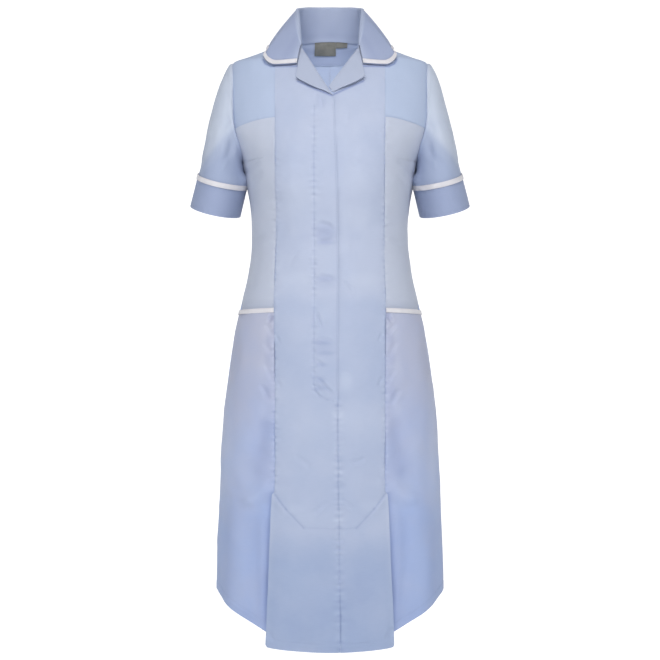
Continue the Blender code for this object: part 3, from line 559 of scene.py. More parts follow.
frontLook = {
    "rows": 400, "columns": 72, "cloth": 0.0010,
    "flyLine": -0.0262, "flyBottom": -0.5873, "flyCorner": 0.0300,
    "creases": [  # from x, z to x, z, half width, depth, bend, all in mm
        (-24, -466, -14, -497, 2.6, 0.9, 1), (-23, -511, 7, -516, 2.2, 0.6, 1),
        (-26, -545, -10, -558, 2.4, 0.8, 1), (-33, -565, -22, -569, 2.0, 0.5, 0),
        (-25, -571, 9, -605, 2.6, 1.2, -2), (-32, -588, -12, -595, 2.2, 0.7, 1),
        (-30, -593, -15, -609, 2.2, 0.7, 0), (-18, -575, -6, -588, 1.8, 0.6, 0),
        (15, -564, 36, -568, 2.2, 0.4, 1), (17, -415, 42, -442, 2.6, 0.5, 3),
        (-23, -322, 8, -330, 3.5, 0.7, 2), (-22, -352, 9, -346, 3.0, 0.6, -1),
        (-22, -408, 8, -412, 3.0, 0.6, 1), (-70, -392, -48, -366, 3.5, 0.4, 2),
        (-90, -505, -82, -520, 2.4, 0.5, 0), (-90, -576, -80, -592, 2.6, 0.5, 0),
        (88, -500, 80, -516, 2.4, 0.5, 0), (88, -572, 79, -590, 2.6, 0.5, 0),
        (-84, -243, -30, -222, 7.0, 0.5, 3), (86, -240, 30, -224, 7.0, 0.5, -3),
        (-62, -700, -30, -724, 4.0, 0.4, 1), (60, -706, 32, -716, 4.0, 0.4, 1),
        (-5, -775, -30, -800, 3.6, 0.6, 1), (40, -790, 14, -772, 3.6, 0.5, 1),
        (-16, -110, -12, -132, 3.0, 0.4, 1), (-26, -118, -20, -104, 2.6, 0.3, 0),
        (-93, -772, -70, -800, 5.0, -0.5, 1), (93, -772, 70, -800, 5.0, -0.5, -1),
        (-104, -985, -88, -1010, 4.0, 0.4, 1), (104, -980, 90, -1008, 4.0, 0.4, -1),
    ],
    "lightAndShadePatches": [  # painted light and shade: x, z, half width and half height in mm, then how much darker, in hundredths, lighter below zero
        (-8, -337, 18, 17, 12), (-8, -353, 18, 4, 9), (-9, -300, 16, 8, 3), (-8, -412, 18, 5, 10),
        (-9, -421, 17, 9, 5), (-12, -518, 14, 4, 9), (-6, -535, 16, 4, 9), (-10, -526, 18, 14, 4),
        (-14, -554, 11, 4, 9), (-16, -578, 9, 5, 8), (-15, -592, 10, 4, 8), (-6, -470, 12, 12, -3),
        (25, -581, 11, 16, -8), (-40, -345, 14, 8, 3), (40, -342, 14, 8, 3), (-14, -120, 10, 14, 5),
        (-40, -300, 30, 16, -3), (45, -310, 30, 18, -3), (-55, -270, 22, 26, -3), (50, -262, 26, 20, -2),
        (-55, -412, 32, 12, -4), (58, -414, 30, 12, -4), (-35, -655, 40, 30, -2), (45, -650, 34, 26, -2),
        (-76, -745, 14, 9, 3), (70, -735, 16, 9, 3), (-60, -790, 20, 9, -3), (62, -786, 20, 9, -3),
        (-30, -805, 26, 8, -2), (20, -800, 20, 8, -2), (-60, -900, 30, 40, -2), (50, -930, 30, 36, 2),
    ],
}
# where the painted shadow runs: under the collar's edge and under the two lapels' lower edges
collarShadowLines = [
    [(0.0480, -0.0562), (0.0600, -0.0564), (0.0990, -0.0552), (0.1085, -0.0498), (0.1120, -0.0420)],
    [(0.0030, -0.1100), (-0.0240, -0.0985), (-0.0540, -0.0838)],
    [(0.0060, -0.1078), (0.0280, -0.0970), (0.0560, -0.0832)],
]
pleatLines = {  # stitching that holds the pleats above, in metres from the centre of the panel, with its groove's depth and width and the painted shade along it
    "left": [(0.0925, -0.7640), (0.0720, -0.7905), (0.0430, -0.8205), (0.0, -0.8215)],
    "depth": [0.0011, 0.0008, 0.0003], "width": [0.0030, 0.0026, 0.0018], "shade": [0.14, 0.10, 0.04],
}


# painted light and shade in soft patches
def lightAndShadePatches(x, z, table):
    out = 0.0
    for x0, z0, halfX, halfZ, darker in table:
        away = ((x * 1000 - x0) / halfX) ** 2 + ((z * 1000 - z0) / halfZ) ** 2
        out = out + darker / 75 * np.exp(-away ** 1.5)
    return out


def paintedShadowUnderCollar(x, z):
    # painted shadow: the thin deep line where the collar and the lapels stand over the front
    away = 1.0
    for line in collarShadowLines:
        for a, b in zip(line, line[1:]):
            away = np.minimum(away, segmentDistance(np.abs(x) if line is collarShadowLines[0] else x, z, a, b))
    return 0.50 * np.exp(-(away / 0.0017) ** 2)


def uneven(along, seed, size=0.020):
    return np.array([np.clip(0.6 + 1.1 * noise.noise(Vector((a / size, seed, 1.7))), 0.05, 1.4) for a in along])


def puckerShading(along, away, seed, pitch=0.0052, reach=0.005):
    # painted light and shade: the small dark and light marks of the puckers that gathered stitching leaves beside a
    # seam
    marks = np.array([noise.noise(Vector((a / pitch, d / pitch * 0.30, seed))) for a, d in zip(along, away)])
    return marks * np.exp(-(away / reach) ** 2)


def segmentDistance(x, z, a, b):
    run = np.array(b) - np.array(a)
    share = np.clip(((x - a[0]) * run[0] + (z - a[1]) * run[1]) / (run @ run), 0, 1)
    return np.hypot(x - a[0] - share * run[0], z - a[1] - share * run[1])


def flyLine(z):
    # where the fly's stitching runs: straight down, then a quarter turn in to the front edge
    corner = frontLook["flyCorner"]
    down = np.clip((frontLook["flyBottom"] + corner * 0.1 - z) / corner, 0, 1)
    return frontLook["flyLine"] + (0.0128 - frontLook["flyLine"]) * (1 - np.sqrt(1 - down ** 2))


def frontCentre(side):
    over = side < 0

    def place(u, v):
        edgeX = overEdge(-1.02) if over else underEdge(-1.02)
        hem = centreHemHeight(mix(edgeX, side * princessTable["centre"][-1], u))
        hem = hem + 0.0035 * smooth((u - 0.96) / 0.04) ** 2  # the corner is turned in
        z = skirtRows(v, shape["neckTop"] - 0.0015, hem)
        edge = overEdge(z) if over else underEdge(z)
        inner = np.where(z > -0.0200, side * neckTurn(z), turnAt(edge, z))
        outer = side * np.minimum(turnAt(princessCentre(z), z), 90 - seamTurn(z))
        turn = mix(inner, outer, smooth(u) * 0.15 + u * 0.85)
        x = facePoint(turn, z)[:, 0]
        toSeam, toEdge = princessCentre(z) - np.abs(x), np.abs(x - edge)
        relief = centreRelief(x, z, over) + foldRelief(turn, z)
        flat = facePoint(turn, z)
        low = smooth((-0.11 - z) / 0.03)
        relief = relief + crumple(flat, 11 + side) * smooth((-0.03 - z) / 0.05)
        stitched = z > shape["pleatTop"]
        relief = relief + np.where(stitched, groove(toSeam, 0.0005), 0) * low
        relief = relief + pucker(z, toSeam, 21 + side, height=0.0018) * np.where(stitched, 1, 0.25) * low
        below = smooth((shape["flyEnd"] - z) / 0.02)
        relief = relief + groove(toEdge, 0.0005) * below
        relief = relief + pucker(z, toEdge, 31, pitch=0.0056, reach=0.010, height=0.0022) * below
        relief = relief + creases(x, z, frontLook["creases"])
        line = pleatLines["left"]
        for a, b, depth, width in zip(line, line[1:], pleatLines["depth"], pleatLines["width"]):
            relief = relief + groove(segmentDistance(np.abs(x), z, a, b), depth, width)
        if over:
            fly = np.abs(x - flyLine(z))
            onFly = smooth((-0.118 - z) / 0.02) * (z > -0.622)
            relief = relief + (groove(fly, 0.0005, 0.0018) + pucker(z, fly, 41, height=0.0020)) * onFly
        hemLine = np.abs(z - hem - 0.0145)
        relief = relief + groove(hemLine, 0.0004, 0.0016) + 0.0003 * (z < hem + 0.0145)
        return onBody(turn, z, relief)

    def shade(points, u, v):
        x, z = points[:, 0], points[:, 2]
        edge = overEdge(z) if over else underEdge(z)
        toSeam, toEdge = princessCentre(z) - np.abs(x), np.abs(x - edge)
        low = smooth((-0.11 - z) / 0.03)
        stitched = z > shape["pleatTop"]
        # painted shade in the princess seam's groove, with its puckers' light and shade
        dark = np.where(stitched, 0.15 * np.exp(-(toSeam / 0.0013) ** 2) * uneven(z, 23 + side), 0) * low
        dark = dark + np.where(stitched, 0.22 * puckerShading(z, toSeam, 24 + side) * smooth((-0.20 - z) / 0.1), 0)
        # painted light along the pleat's folded edge
        dark = dark - np.where(stitched, 0, 0.07 * np.exp(-(toSeam / 0.0045) ** 2))
        below = smooth((shape["flyEnd"] - z) / 0.02)
        # painted shade in the centre front seam below the fly, with its puckers' light and shade
        dark = dark + 0.24 * puckerShading(z, toEdge, 33, 0.0060, 0.008) * below
        dark = dark + 0.10 * np.exp(-(toEdge / 0.0012) ** 2) * below
        # painted light and shade patches, and the painted shadow under the collar and lapels
        dark = dark + lightAndShadePatches(x, z, frontLook["lightAndShadePatches"]) + paintedShadowUnderCollar(x, z)
        # painted shade along the pleat stitching's groove
        line = pleatLines["left"]
        for a, b, deep in zip(line, line[1:], pleatLines["shade"]):
            dark = dark + deep * np.exp(-(segmentDistance(np.abs(x), z, a, b) / 0.0020) ** 2)
        corner = (np.abs(x) - 0.0430) * 0.0545 + (z + 0.8205) * 0.0475  # painted light past the slanting stitching
        dark = dark - 0.06 * smooth(-corner / 0.0004) * smooth((np.abs(x) - 0.045) / 0.03) * smooth(
            (z + 0.835) / 0.02) * smooth((shape["pleatTop"] - z) / 0.004)
        if over:
            # painted shade in the fly stitching's groove, with its puckers' light and shade
            fly = np.abs(x - flyLine(z))
            onFly = smooth((-0.118 - z) / 0.02) * (z > -0.622)
            dark = dark + (0.10 * np.exp(-(fly / 0.0011) ** 2) * uneven(z, 43) + 0.16 * puckerShading(z, fly, 44)) * onFly
        return dark

    name = "frontRight" if over else "frontLeft"
    return layPanel(name, frontLook["columns"], frontLook["rows"], place, blueCloth, frontLook["cloth"],
                    shade=shade)


frontRight = hold(frontCentre(-1), "front_centre_right")
frontLeft = hold(frontCentre(1), "front_centre_left")
print("centre fronts made")

# Yokes, side fronts and skirt sides


def frontYoke(side):
    def place(u, v):
        top = shoulderHeight(mix(princessTable["side"][0], ridgeWidths[0], u))
        z = mix(top, yokeSeam(u) + seamGap / 2, v)
        inner = turnAt(princessSide(z), z)
        outer = sideTurn(np.minimum(z, shape["shoulderTip"]), shape["frontScoop"])
        xInner = facePoint(inner, z)[:, 0]
        xOuter = facePoint(outer, np.minimum(z, shape["shoulderTip"]))[:, 0]
        x = mix(xInner, xOuter, u)
        turn = np.minimum(turnAt(x, z), 90 - seamTurn(z))
        flat = facePoint(turn, z)
        relief = crumple(flat, 51 + side) * smooth(v / 0.08)
        relief = relief + groove(x - xInner) * smooth((-0.03 - z) / 0.02)
        relief = relief + groove(z - yokeSeam(u), 0.0004) + groove(xOuter - x, 0.0002, 0.002) * (u > 0.3)
        relief = relief + pucker(x, z - yokeSeam(u), 55 + side, height=0.0008)
        points, normals = onBody(turn, z, relief)
        return points * (side, 1, 1), normals * (side, 1, 1)

    def shade(points, u, v):
        z = points[:, 2]
        # painted shade in the yoke seam and along both side edges, with the painted shadow under the collar
        seam = 0.10 * np.exp(-((z - yokeSeam(u)) / 0.0016) ** 2)
        edges = 0.06 * smooth((u - 0.93) / 0.07) + 0.05 * smooth((0.03 - u) / 0.03)
        return seam + edges + paintedShadowUnderCollar(points[:, 0], z)

    name = "yokeRight" if side < 0 else "yokeLeft"
    return layPanel(name, 40, 64, place, yokeCloth, shade=shade)


sideLook = {
    "creases": [
        (-148, -236, -112, -214, 5.0, 0.8, 3), (-140, -262, -108, -232, 5.0, 0.5, 3),
        (146, -240, 110, -214, 5.0, 0.8, -3), (138, -268, 106, -236, 5.0, 0.5, -3),
        (-130, -352, -98, -340, 4.0, 0.6, 2), (130, -356, 98, -342, 4.0, 0.6, 2),
        (-110, -484, -94, -512, 3.6, 0.6, 2), (-112, -516, -95, -544, 4.0, 0.5, 2),
        (-110, -550, -94, -584, 3.8, 0.5, 2), (-118, -584, -99, -618, 4.2, 0.7, 2),
        (111, -486, 94, -508, 3.6, 0.6, -2), (113, -512, 95, -552, 4.0, 0.5, -2),
        (111, -560, 94, -586, 3.8, 0.5, -2), (119, -592, 100, -624, 4.2, 0.7, -2),
        (-98, -742, -150, -788, 12.0, -2.0, 4), (98, -742, 150, -786, 12.0, -2.0, -4),
        (-104, -640, -124, -716, 14.0, 1.6, 0), (104, -640, 124, -716, 14.0, 1.6, 0),
        (-100, -770, -103, -990, 7.0, 2.2, 0), (100, -770, 103, -990, 7.0, 2.2, 0),
        (-160, -500, -176, -600, 9.0, 0.9, 3), (160, -500, 176, -600, 9.0, 0.9, -3),
        (-95, -470, -104, -486, 3.0, 1.2, 0), (95, -470, 104, -486, 3.0, 1.2, 0),
    ],
    "lightAndShadePatches": [  # painted light and shade: x, z, half width and half height in mm, then how much darker, in hundredths, lighter below zero
        (97, -476, 5, 7, 12), (107, -500, 9, 10, -4), (101, -512, 5, 12, 6), (103, -545, 6, 10, 6),
        (112, -560, 8, 18, -4), (103, -600, 6, 12, 8), (112, -626, 8, 14, -4), (106, -662, 12, 22, 6),
        (150, -700, 16, 60, -5), (112, -712, 14, 30, 7), (126, -768, 20, 26, -5), (120, -840, 12, 50, 3),
        (150, -880, 14, 60, -2), (177, -640, 12, 110, -7), (187, -860, 11, 90, -6), (179, -735, 18, 80, -9), (108, -930, 10, 50, 6),
        (140, -975, 40, 16, 4),
    ],
}


def sideFront(side):
    def place(u, v):
        underarm, end = shape["underarm"], shape["pocketAtFront"] - shape["pocketDepth"]
        top = yokeSeam(u) - seamGap / 2
        split = 0.15
        z = np.where(v < split, mix(top, underarm, v / split), mix(underarm, end, (v - split) / (1 - split)))
        inner, outer = turnAt(princessSide(z), z), sideTurn(z, shape["frontScoop"])
        xInner, xOuter = facePoint(inner, z)[:, 0], facePoint(outer, z)[:, 0]
        x = mix(xInner, xOuter, u)
        turn = np.where(z > underarm, np.minimum(turnAt(x, z), outer), mix(inner, outer, u))
        flat = facePoint(turn, z)
        x = flat[:, 0]
        relief = -0.0024 * smooth((-0.4440 - z) / 0.0140) - 0.0020 * smooth((-0.4780 - z) / 0.0300)
        fade = smooth((z + 0.4500) / 0.03)
        calm = smooth((1 - u) / 0.10)
        relief = relief + (crumple(flat, 61 + side) * calm + pucker(z, x - xInner, 65 + side, height=0.0015)) * fade
        relief = relief + groove(x - xInner, 0.0005) * fade + groove(z - yokeSeam(u), 0.0004) * (z > underarm)
        relief = relief + creases(x * side, z, sideLook["creases"]) * fade
        points, normals = onBody(turn, z, relief)
        return points * (side, 1, 1), normals * (side, 1, 1)

    def shade(points, u, v):
        z = points[:, 2]
        toSeam = np.abs(points[:, 0]) - princessSide(z)
        # painted shade in the princess seam's groove, with its puckers' light and shade
        dark = 0.15 * np.exp(-(toSeam / 0.0013) ** 2) * uneven(z, 67 + side)
        dark = dark + 0.14 * puckerShading(z, toSeam, 68 + side) * smooth((-0.20 - z) / 0.1)
        dark = dark + 0.03 * smooth((-0.4440 - z) / 0.016)  # painted shade where the cloth goes down behind the pocket
        # painted shade below the armhole, towards the side seam
        return dark + 0.05 * np.exp(-(((z + 0.205) / 0.030) ** 2)) * smooth((u - 0.7) / 0.3)

    name = "sideRight" if side < 0 else "sideLeft"
    return layPanel(name, 48, 220, place, sideCloth, shade=shade)


def skirtSide(side):
    def place(u, v):
        atHem = mix(turnAt(princessTable["side"][-1], shape["hemSide"]), 90 - seamTurn(shape["hemSide"]), u)
        hem = hemHeight(atHem)
        z = skirtRows(v, pocketMouth(u), hem)
        inner, outer = turnAt(princessSide(z), z), 90 - seamTurn(z)
        turn = mix(inner, outer, u)
        flat = facePoint(turn, z)
        x = flat[:, 0]
        toSeam = x - princessSide(z)
        stitched = z > shape["pleatTop"]
        relief = sideRelief(turn, z) + foldRelief(turn * side, z)
        relief = relief + crumple(flat, 71 + side) * smooth((1 - u) / 0.10)
        relief = relief + np.where(stitched, groove(toSeam, 0.0005), 0)
        relief = relief + np.where(stitched, pucker(z, toSeam, 75 + side, height=0.0018), 0)
        relief = relief + creases(x * side, z, sideLook["creases"])
        hemLine = np.abs(z - hem - 0.0145)
        relief = relief + groove(hemLine, 0.0004, 0.0016) + 0.0003 * (z < hem + 0.0145)
        points, normals = onBody(turn, z, relief)
        return points * (side, 1, 1), normals * (side, 1, 1)

    def shade(points, u, v):
        x, z = np.abs(points[:, 0]), points[:, 2]
        toSeam = x - princessSide(z)
        stitched = z > shape["pleatTop"]
        # painted shade in the seam's groove with its puckers' light and shade, and painted light and shade patches
        dark = np.where(stitched, 0.15 * np.exp(-(toSeam / 0.0013) ** 2) * uneven(z, 77 + side), 0)
        dark = dark + np.where(stitched, 0.22 * puckerShading(z, toSeam, 78 + side), 0)
        dark = dark + lightAndShadePatches(x, z, sideLook["lightAndShadePatches"])
        behind = x - princessCentre(z)  # beside the pleat's fold, where its shadow falls
        return dark + np.where(stitched, 0, 0.16 * np.exp(-(behind / 0.0050) ** 2))

    name = "skirtRight" if side < 0 else "skirtLeft"
    return layPanel(name, 64, 240, place, skirtCloth, shade=shade)


braidSize = {"width": 0.0076, "wall": 0.0012, "lift": 0.0003}


def pocketBraid(side):
    def place(u, v):
        z = pocketMouth(u) + 0.0004 - v * braidSize["width"]
        turn = mix(turnAt(princessSide(z), z), 90 - seamTurn(z), u)
        crown = 0.0003 * np.sin(math.pi * v)
        proud = (braidSize["lift"] + braidSize["wall"] + crown) * (1 - 0.75 * smooth((u - 0.90) / 0.10))
        relief = sideRelief(turn, z) + proud
        points, normals = onBody(turn, z, relief)
        return points * (side, 1, 1), normals * (side, 1, 1)

    name = "pocketBraidRight" if side < 0 else "pocketBraidLeft"
    return layPanel(name, 44, 8, place, whiteBraid, braidSize["wall"])


for side, word in ((1, "left"), (-1, "right")):
    hold(frontYoke(side), "front_yoke_" + word)
    hold(sideFront(side), "side_front_" + word)
    hold(skirtSide(side), "side_skirt_" + word)
    hold(pocketBraid(side), "pocket_braid_" + word)
print("yokes, sides and skirt made")

# Back

backLook = {
    "creases": [
        (10, -330, 70, -352, 5.0, 1.0, 3), (-12, -338, -74, -346, 5.0, 1.0, -3),
        (24, -300, 96, -318, 5.0, 0.7, 4), (-20, -306, -92, -314, 5.0, 0.7, -4),
        (130, -236, 90, -200, 5.0, 1.0, 3), (-130, -238, -92, -204, 5.0, 1.0, -3),
        (40, -120, 96, -86, 6.0, 0.7, -3), (-44, -124, -98, -88, 6.0, 0.7, 3),
        (60, -470, 108, -500, 8.0, 0.8, 3), (-62, -476, -112, -498, 8.0, 0.8, -3),
    ],
}


def backPanel(side):
    def place(u, v):
        split = 0.045
        neck = neckHeight(mix(180, 90, u)) - seamGap / 2
        hem = hemHeight(mix(180, 90, u))
        tip = shape["shoulderTip"]
        z = np.where(v < split, mix(neck, tip, v / split), skirtRows((v - split) / (1 - split), tip, hem))
        middle = 180 - np.degrees(seamGap / 2 / halfWidth(z))
        outer = 180 - sideTurn(z, shape["backScoop"])
        turn = mix(middle, outer, u)
        flat = facePoint(turn, z)
        x = flat[:, 0]
        calm = smooth((1 - u) / 0.06) * smooth(v / 0.03)
        relief = foldRelief(turn * side, z) + crumple(flat, 81 + side, 0.0012) * calm
        relief = relief + (groove(x, 0.0005) + pucker(z, x, 85, height=0.0018)) * smooth((-0.02 - z) / 0.03)
        relief = relief + creases(x * side, z, backLook["creases"])
        hemLine = np.abs(z - hem - 0.0145)
        relief = relief + groove(hemLine, 0.0004, 0.0016) + 0.0003 * (z < hem + 0.0145)
        points, normals = onBody(turn, z, relief)
        return points * (side, 1, 1), normals * (side, 1, 1)

    def shade(points, u, v):
        x, z = np.abs(points[:, 0]), points[:, 2]
        # painted shade in the centre back seam's groove, with its puckers' light and shade
        onSeam = 0.35 * smooth((-0.01 - z) / 0.02) + 0.65 * smooth((-0.11 - z) / 0.04)
        return (0.14 * np.exp(-(x / 0.0013) ** 2) * uneven(z, 87) + 0.18 * puckerShading(z, x, 88)) * onSeam

    name = "backRight" if side < 0 else "backLeft"
    return layPanel(name, 80, 300, place, backCloth, shade=shade)


hold(backPanel(1), "back_left")
hold(backPanel(-1), "back_right")


def neckFacing():
    def place(u, v):
        turn = mix(97.5, 262.5, u)
        depth = mix(0.0150, 0.0401, np.cos(np.radians(turn)) ** 2)
        z = neckHeight(np.minimum(turn, 360 - turn)) - 0.0012 - depth * v
        relief = -0.0024 + 0.0002 * softNoise(facePoint(turn, z), 0.02, 91)
        return onBody(turn, z, relief)

    return layPanel("neckFacing", 60, 12, place, facingCloth, 0.0009)


def neckLabel(name, left, right, top, bottom, across, down):
    def place(u, v):
        z = mix(top, bottom, v)
        turn = 180 - turnAt(mix(left, right, u), z)
        edge = np.minimum(np.minimum(u, 1 - u), np.minimum(v, 1 - v))
        relief = -0.0043 - 0.0004 * smooth(edge / 0.08) - 0.0006 * smooth(v) * np.sin(math.pi * u)
        return onBody(turn, z, relief + v * 0)

    return layPanel(name, across, down, place, labelSatin, 0.0006)


hold(neckFacing(), "back_neck_facing")
hold(neckLabel("neckLabel", -0.0282, 0.0106, 0.0104, -0.0108, 24, 14), "neck_label")
hold(neckLabel("sizeTab", 0.0110, 0.0322, 0.0104, 0.0010, 16, 8), "size_tab")
print("back, facing and labels made")

# Collar, its braid and the lapels

collarTable = {
    "seamTurn": [24, 31, 39, 47, 55, 63, 71, 82, 96, 115, 135, 157, 180],
    "rollX": [0.0480, 0.0494, 0.0509, 0.0523, 0.0534, 0.0545, 0.0552, 0.0556, 0.0550, 0.0500, 0.0385,
              0.0205, 0.0],
    "rollY": [-0.0605, -0.0552, -0.0480, -0.0398, -0.0311, -0.0215, -0.0129, -0.0005, 0.0158, 0.0340,
              0.0475, 0.0570, 0.0600],
    "rollZ": [-0.0150, -0.0045, 0.0080, 0.0208, 0.0325, 0.0422, 0.0492, 0.0556, 0.0600, 0.0645, 0.0680,
              0.0702, 0.0710],
    "edgeTurn": [18.4, 22.6, 28.0, 33.2, 37.8, 42.4, 51.5, 73.0, 93.0, 118.0, 142.0, 161.0, 180.0],
    "edgeZ": [-0.0538, -0.0545, -0.0550, -0.0543, -0.0480, -0.0378, -0.0280, -0.0198, -0.0174, -0.0158,
              -0.0144, -0.0134, -0.0130],
}
collarLook = {"cloth": 0.0020, "rollRadius": 0.0034, "rest": 0.0046, "restBehind": 0.0022,
              "bow": 0.0024}


def catmull(values, at):
    p = np.array(values, float)
    k = np.clip(np.floor(at).astype(int), 0, len(p) - 2)
    s = at - k
    a, b, c, d = p[np.maximum(k - 1, 0)], p[k], p[k + 1], p[np.minimum(k + 2, len(p) - 1)]
    return b + 0.5 * s * (c - a + s * (2 * a - 5 * b + 4 * c - d + s * (3 * (b - c) + d - a)))


def collarFace(w, v):
    # w runs from the left front end (0) over the centre back (0.5) to the right one (1)
    last = len(collarTable["seamTurn"]) - 1
    column = (1 - np.abs(2 * w - 1)) * last
    mirror = np.where(w > 0.5, -1.0, 1.0)
    turn, rollX, rollY, rollZ, edgeTurn, edgeZ = (
        catmull(collarTable[k], column) for k in ("seamTurn", "rollX", "rollY", "rollZ", "edgeTurn", "edgeZ"))
    neckZ = neckHeight(turn)
    tucked = smooth((turn - 70) / 30)  # over the top of the back facing
    foot = facePoint(turn, neckZ) - faceNormal(turn, neckZ) * mix(0.0018, 0.0056, tucked)[:, None]
    foot[:, 2] += mix(0.0021, -0.0022, tucked)
    roll = np.stack([rollX, rollY, rollZ], -1)
    rest = mix(collarLook["rest"], collarLook["restBehind"], smooth((edgeTurn - 50) / 28))
    edge = facePoint(edgeTurn, edgeZ) + faceNormal(edgeTurn, edgeZ) * rest[:, None]
    outward = edge - roll
    outward[:, 2] = 0
    outward = unit(outward)
    up = np.array([0, 0, 1.0])
    radius = np.minimum(collarLook["rollRadius"], (roll[:, 2] - foot[:, 2]) / 2.2)[:, None]
    inside, outside = roll - outward * radius - up * radius, roll + outward * radius - up * radius
    fall = edge - outside
    bowOut = unit(np.cross(np.cross(fall, np.broadcast_to(up, fall.shape)), fall))
    bowOut = bowOut * np.sign((bowOut * outward).sum(-1, keepdims=True))
    standShare = np.clip(v / 0.38, 0, 1)[:, None]
    rollShare = np.clip((v - 0.38) / 0.12, 0, 1)[:, None] * math.pi
    fallShare = np.clip((v - 0.50) / 0.50, 0, 1)[:, None]
    onStand = mix(foot, inside, standShare)
    onRoll = roll - outward * radius * np.cos(rollShare) - up * radius * (1 - np.sin(rollShare))
    onFall = mix(outside, edge, fallShare) + bowOut * collarLook["bow"] * 4 * fallShare * (1 - fallShare)
    points = np.where((v < 0.38)[:, None], onStand, np.where((v < 0.50)[:, None], onRoll, onFall))
    points = points * np.stack([mirror, mirror * 0 + 1, mirror * 0 + 1], -1)
    return points, np.linalg.norm(fall, axis=1)


def collarNormal(w, v):
    step = 0.002
    a, b = collarFace(np.clip(w + step, 0, 1), v)[0], collarFace(np.clip(w - step, 0, 1), v)[0]
    c, d = collarFace(w, np.clip(v + step, 0, 1))[0], collarFace(w, np.clip(v - step, 0, 1))[0]
    return unit(np.cross(c - d, a - b))


def makeCollar():
    def place(u, v):
        points, fall = collarFace(u, v)
        normals = collarNormal(u, v)
        onFall = smooth((v - 0.5) / 0.1)
        relief = 0.0005 * softNoise(points, 0.03, 101) * smooth(v / 0.2)
        relief = relief - 0.0006 * np.exp(-(((1 - v) * 2 * fall - 0.0095) / 0.0016) ** 2) * onFall
        return points + normals * relief[:, None], normals

    def shade(points, u, v):
        # painted light and shade: a highlight along the fall's front ends with a darker band beside it, a lit strip
        # at the stand's foot with a dark line above it, and the stand's inner face painted lighter, in blotches
        fromFront = np.minimum(u, 1 - u)
        onFall = smooth((v - 0.5) / 0.04)
        dark = -0.16 * (1 - smooth(fromFront / 0.050)) * onFall
        dark = dark + 0.05 * np.exp(-((fromFront - 0.075) / 0.02) ** 2) * onFall
        dark = dark - 0.12 * np.exp(-((v - 0.02) / 0.022) ** 2) + 0.05 * np.exp(-((v - 0.085) / 0.012) ** 2)
        return dark + (0.08 * softNoise(points, 0.03, 103) - 0.22) * (1 - onFall)

    return layPanel("collarCloth", 190, 64, place, collarCloth, collarLook["cloth"], shade=shade)


def makeCollarBraid():
    def place(u, v):
        fall = collarFace(u, v)[1]
        from_ = 1 - 0.5 * braidSize["width"] / fall
        down = mix(from_, 1.0, v)
        points, normals = collarFace(u, down)[0], collarNormal(u, np.minimum(down, 0.995))
        crown = 0.0003 * np.sin(math.pi * v)
        onRidge = np.exp(-(((0.5 - np.abs(u - 0.5)) - 0.34) / 0.055) ** 2)  # it lies flatter over the shoulders
        out = (braidSize["lift"] + braidSize["wall"] + crown) * (1 - 0.92 * onRidge)
        return points + normals * out[:, None], normals

    return layPanel("collarBraid", 170, 8, place, whiteBraid, braidSize["wall"])


lapelTable = {
    "right": {"fold": (-0.0474, -0.0225), "notch": (-0.0520, -0.0452), "point": (-0.0552, -0.0800),
              "foot": (0.0042, -0.1104)},
    "left": {"fold": (0.0474, -0.0225), "notch": (0.0520, -0.0452), "point": (0.0570, -0.0785),
             "foot": (-0.0022, -0.0935)},  # this one goes in under the other
}
lapelLook = {"cloth": 0.0016, "under": 0.0008, "curl": 0.0036, "sag": 0.0026, "corner": 0.0140, "stack": 0.0014}


def makeLapel(word):
    corner = {k: np.array(p) for k, p in lapelTable[word].items()}
    over = word == "right"

    def place(u, v):
        top = mix(corner["fold"][None], corner["notch"][None], u[:, None])
        low = mix(corner["foot"][None], corner["point"][None], u[:, None])
        flat = mix(top, low, v[:, None])
        x, z = flat[:, 0], flat[:, 1]
        z = z - lapelLook["sag"] * v ** 3 * np.sin(math.pi * np.clip(u, 0, 1)) * (2 * u - 0.6)
        if not over:
            z = z - lapelLook["corner"] * (1 - u) * smooth(u / 0.11) * v ** 5
        relief = lapelLook["cloth"] + lapelLook["under"] + (0.0012 + lapelLook["curl"] * v) * u
        relief = relief + centreRelief(x, z, over) - 0.0012 * (1 - smooth(u / 0.10))
        crossing = smooth((-0.080 - z) / 0.012) * (1 - smooth((np.abs(x) - 0.006) / 0.014))
        relief = relief + (lapelLook["stack"] if over else -0.0010) * crossing
        turn = turnAt(x, z)
        relief = relief + 0.0003 * softNoise(facePoint(turn, z), 0.02, 111)
        return onBody(turn, z, relief)

    return layPanel("lapelRight" if over else "lapelLeft", 24, 36, place, lapelCloth, lapelLook["cloth"])


hold(makeCollar(), "collar")
hold(makeCollarBraid(), "collar_braid")
hold(makeLapel("right"), "lapel_right")
hold(makeLapel("left"), "lapel_left")
print("collar and lapels made")

# Stitching: small grains of thread laid along a path on a finished piece

stitchLook = {"pitch": 0.0029, "length": 0.0022, "width": 0.00042, "proud": 0.00012}


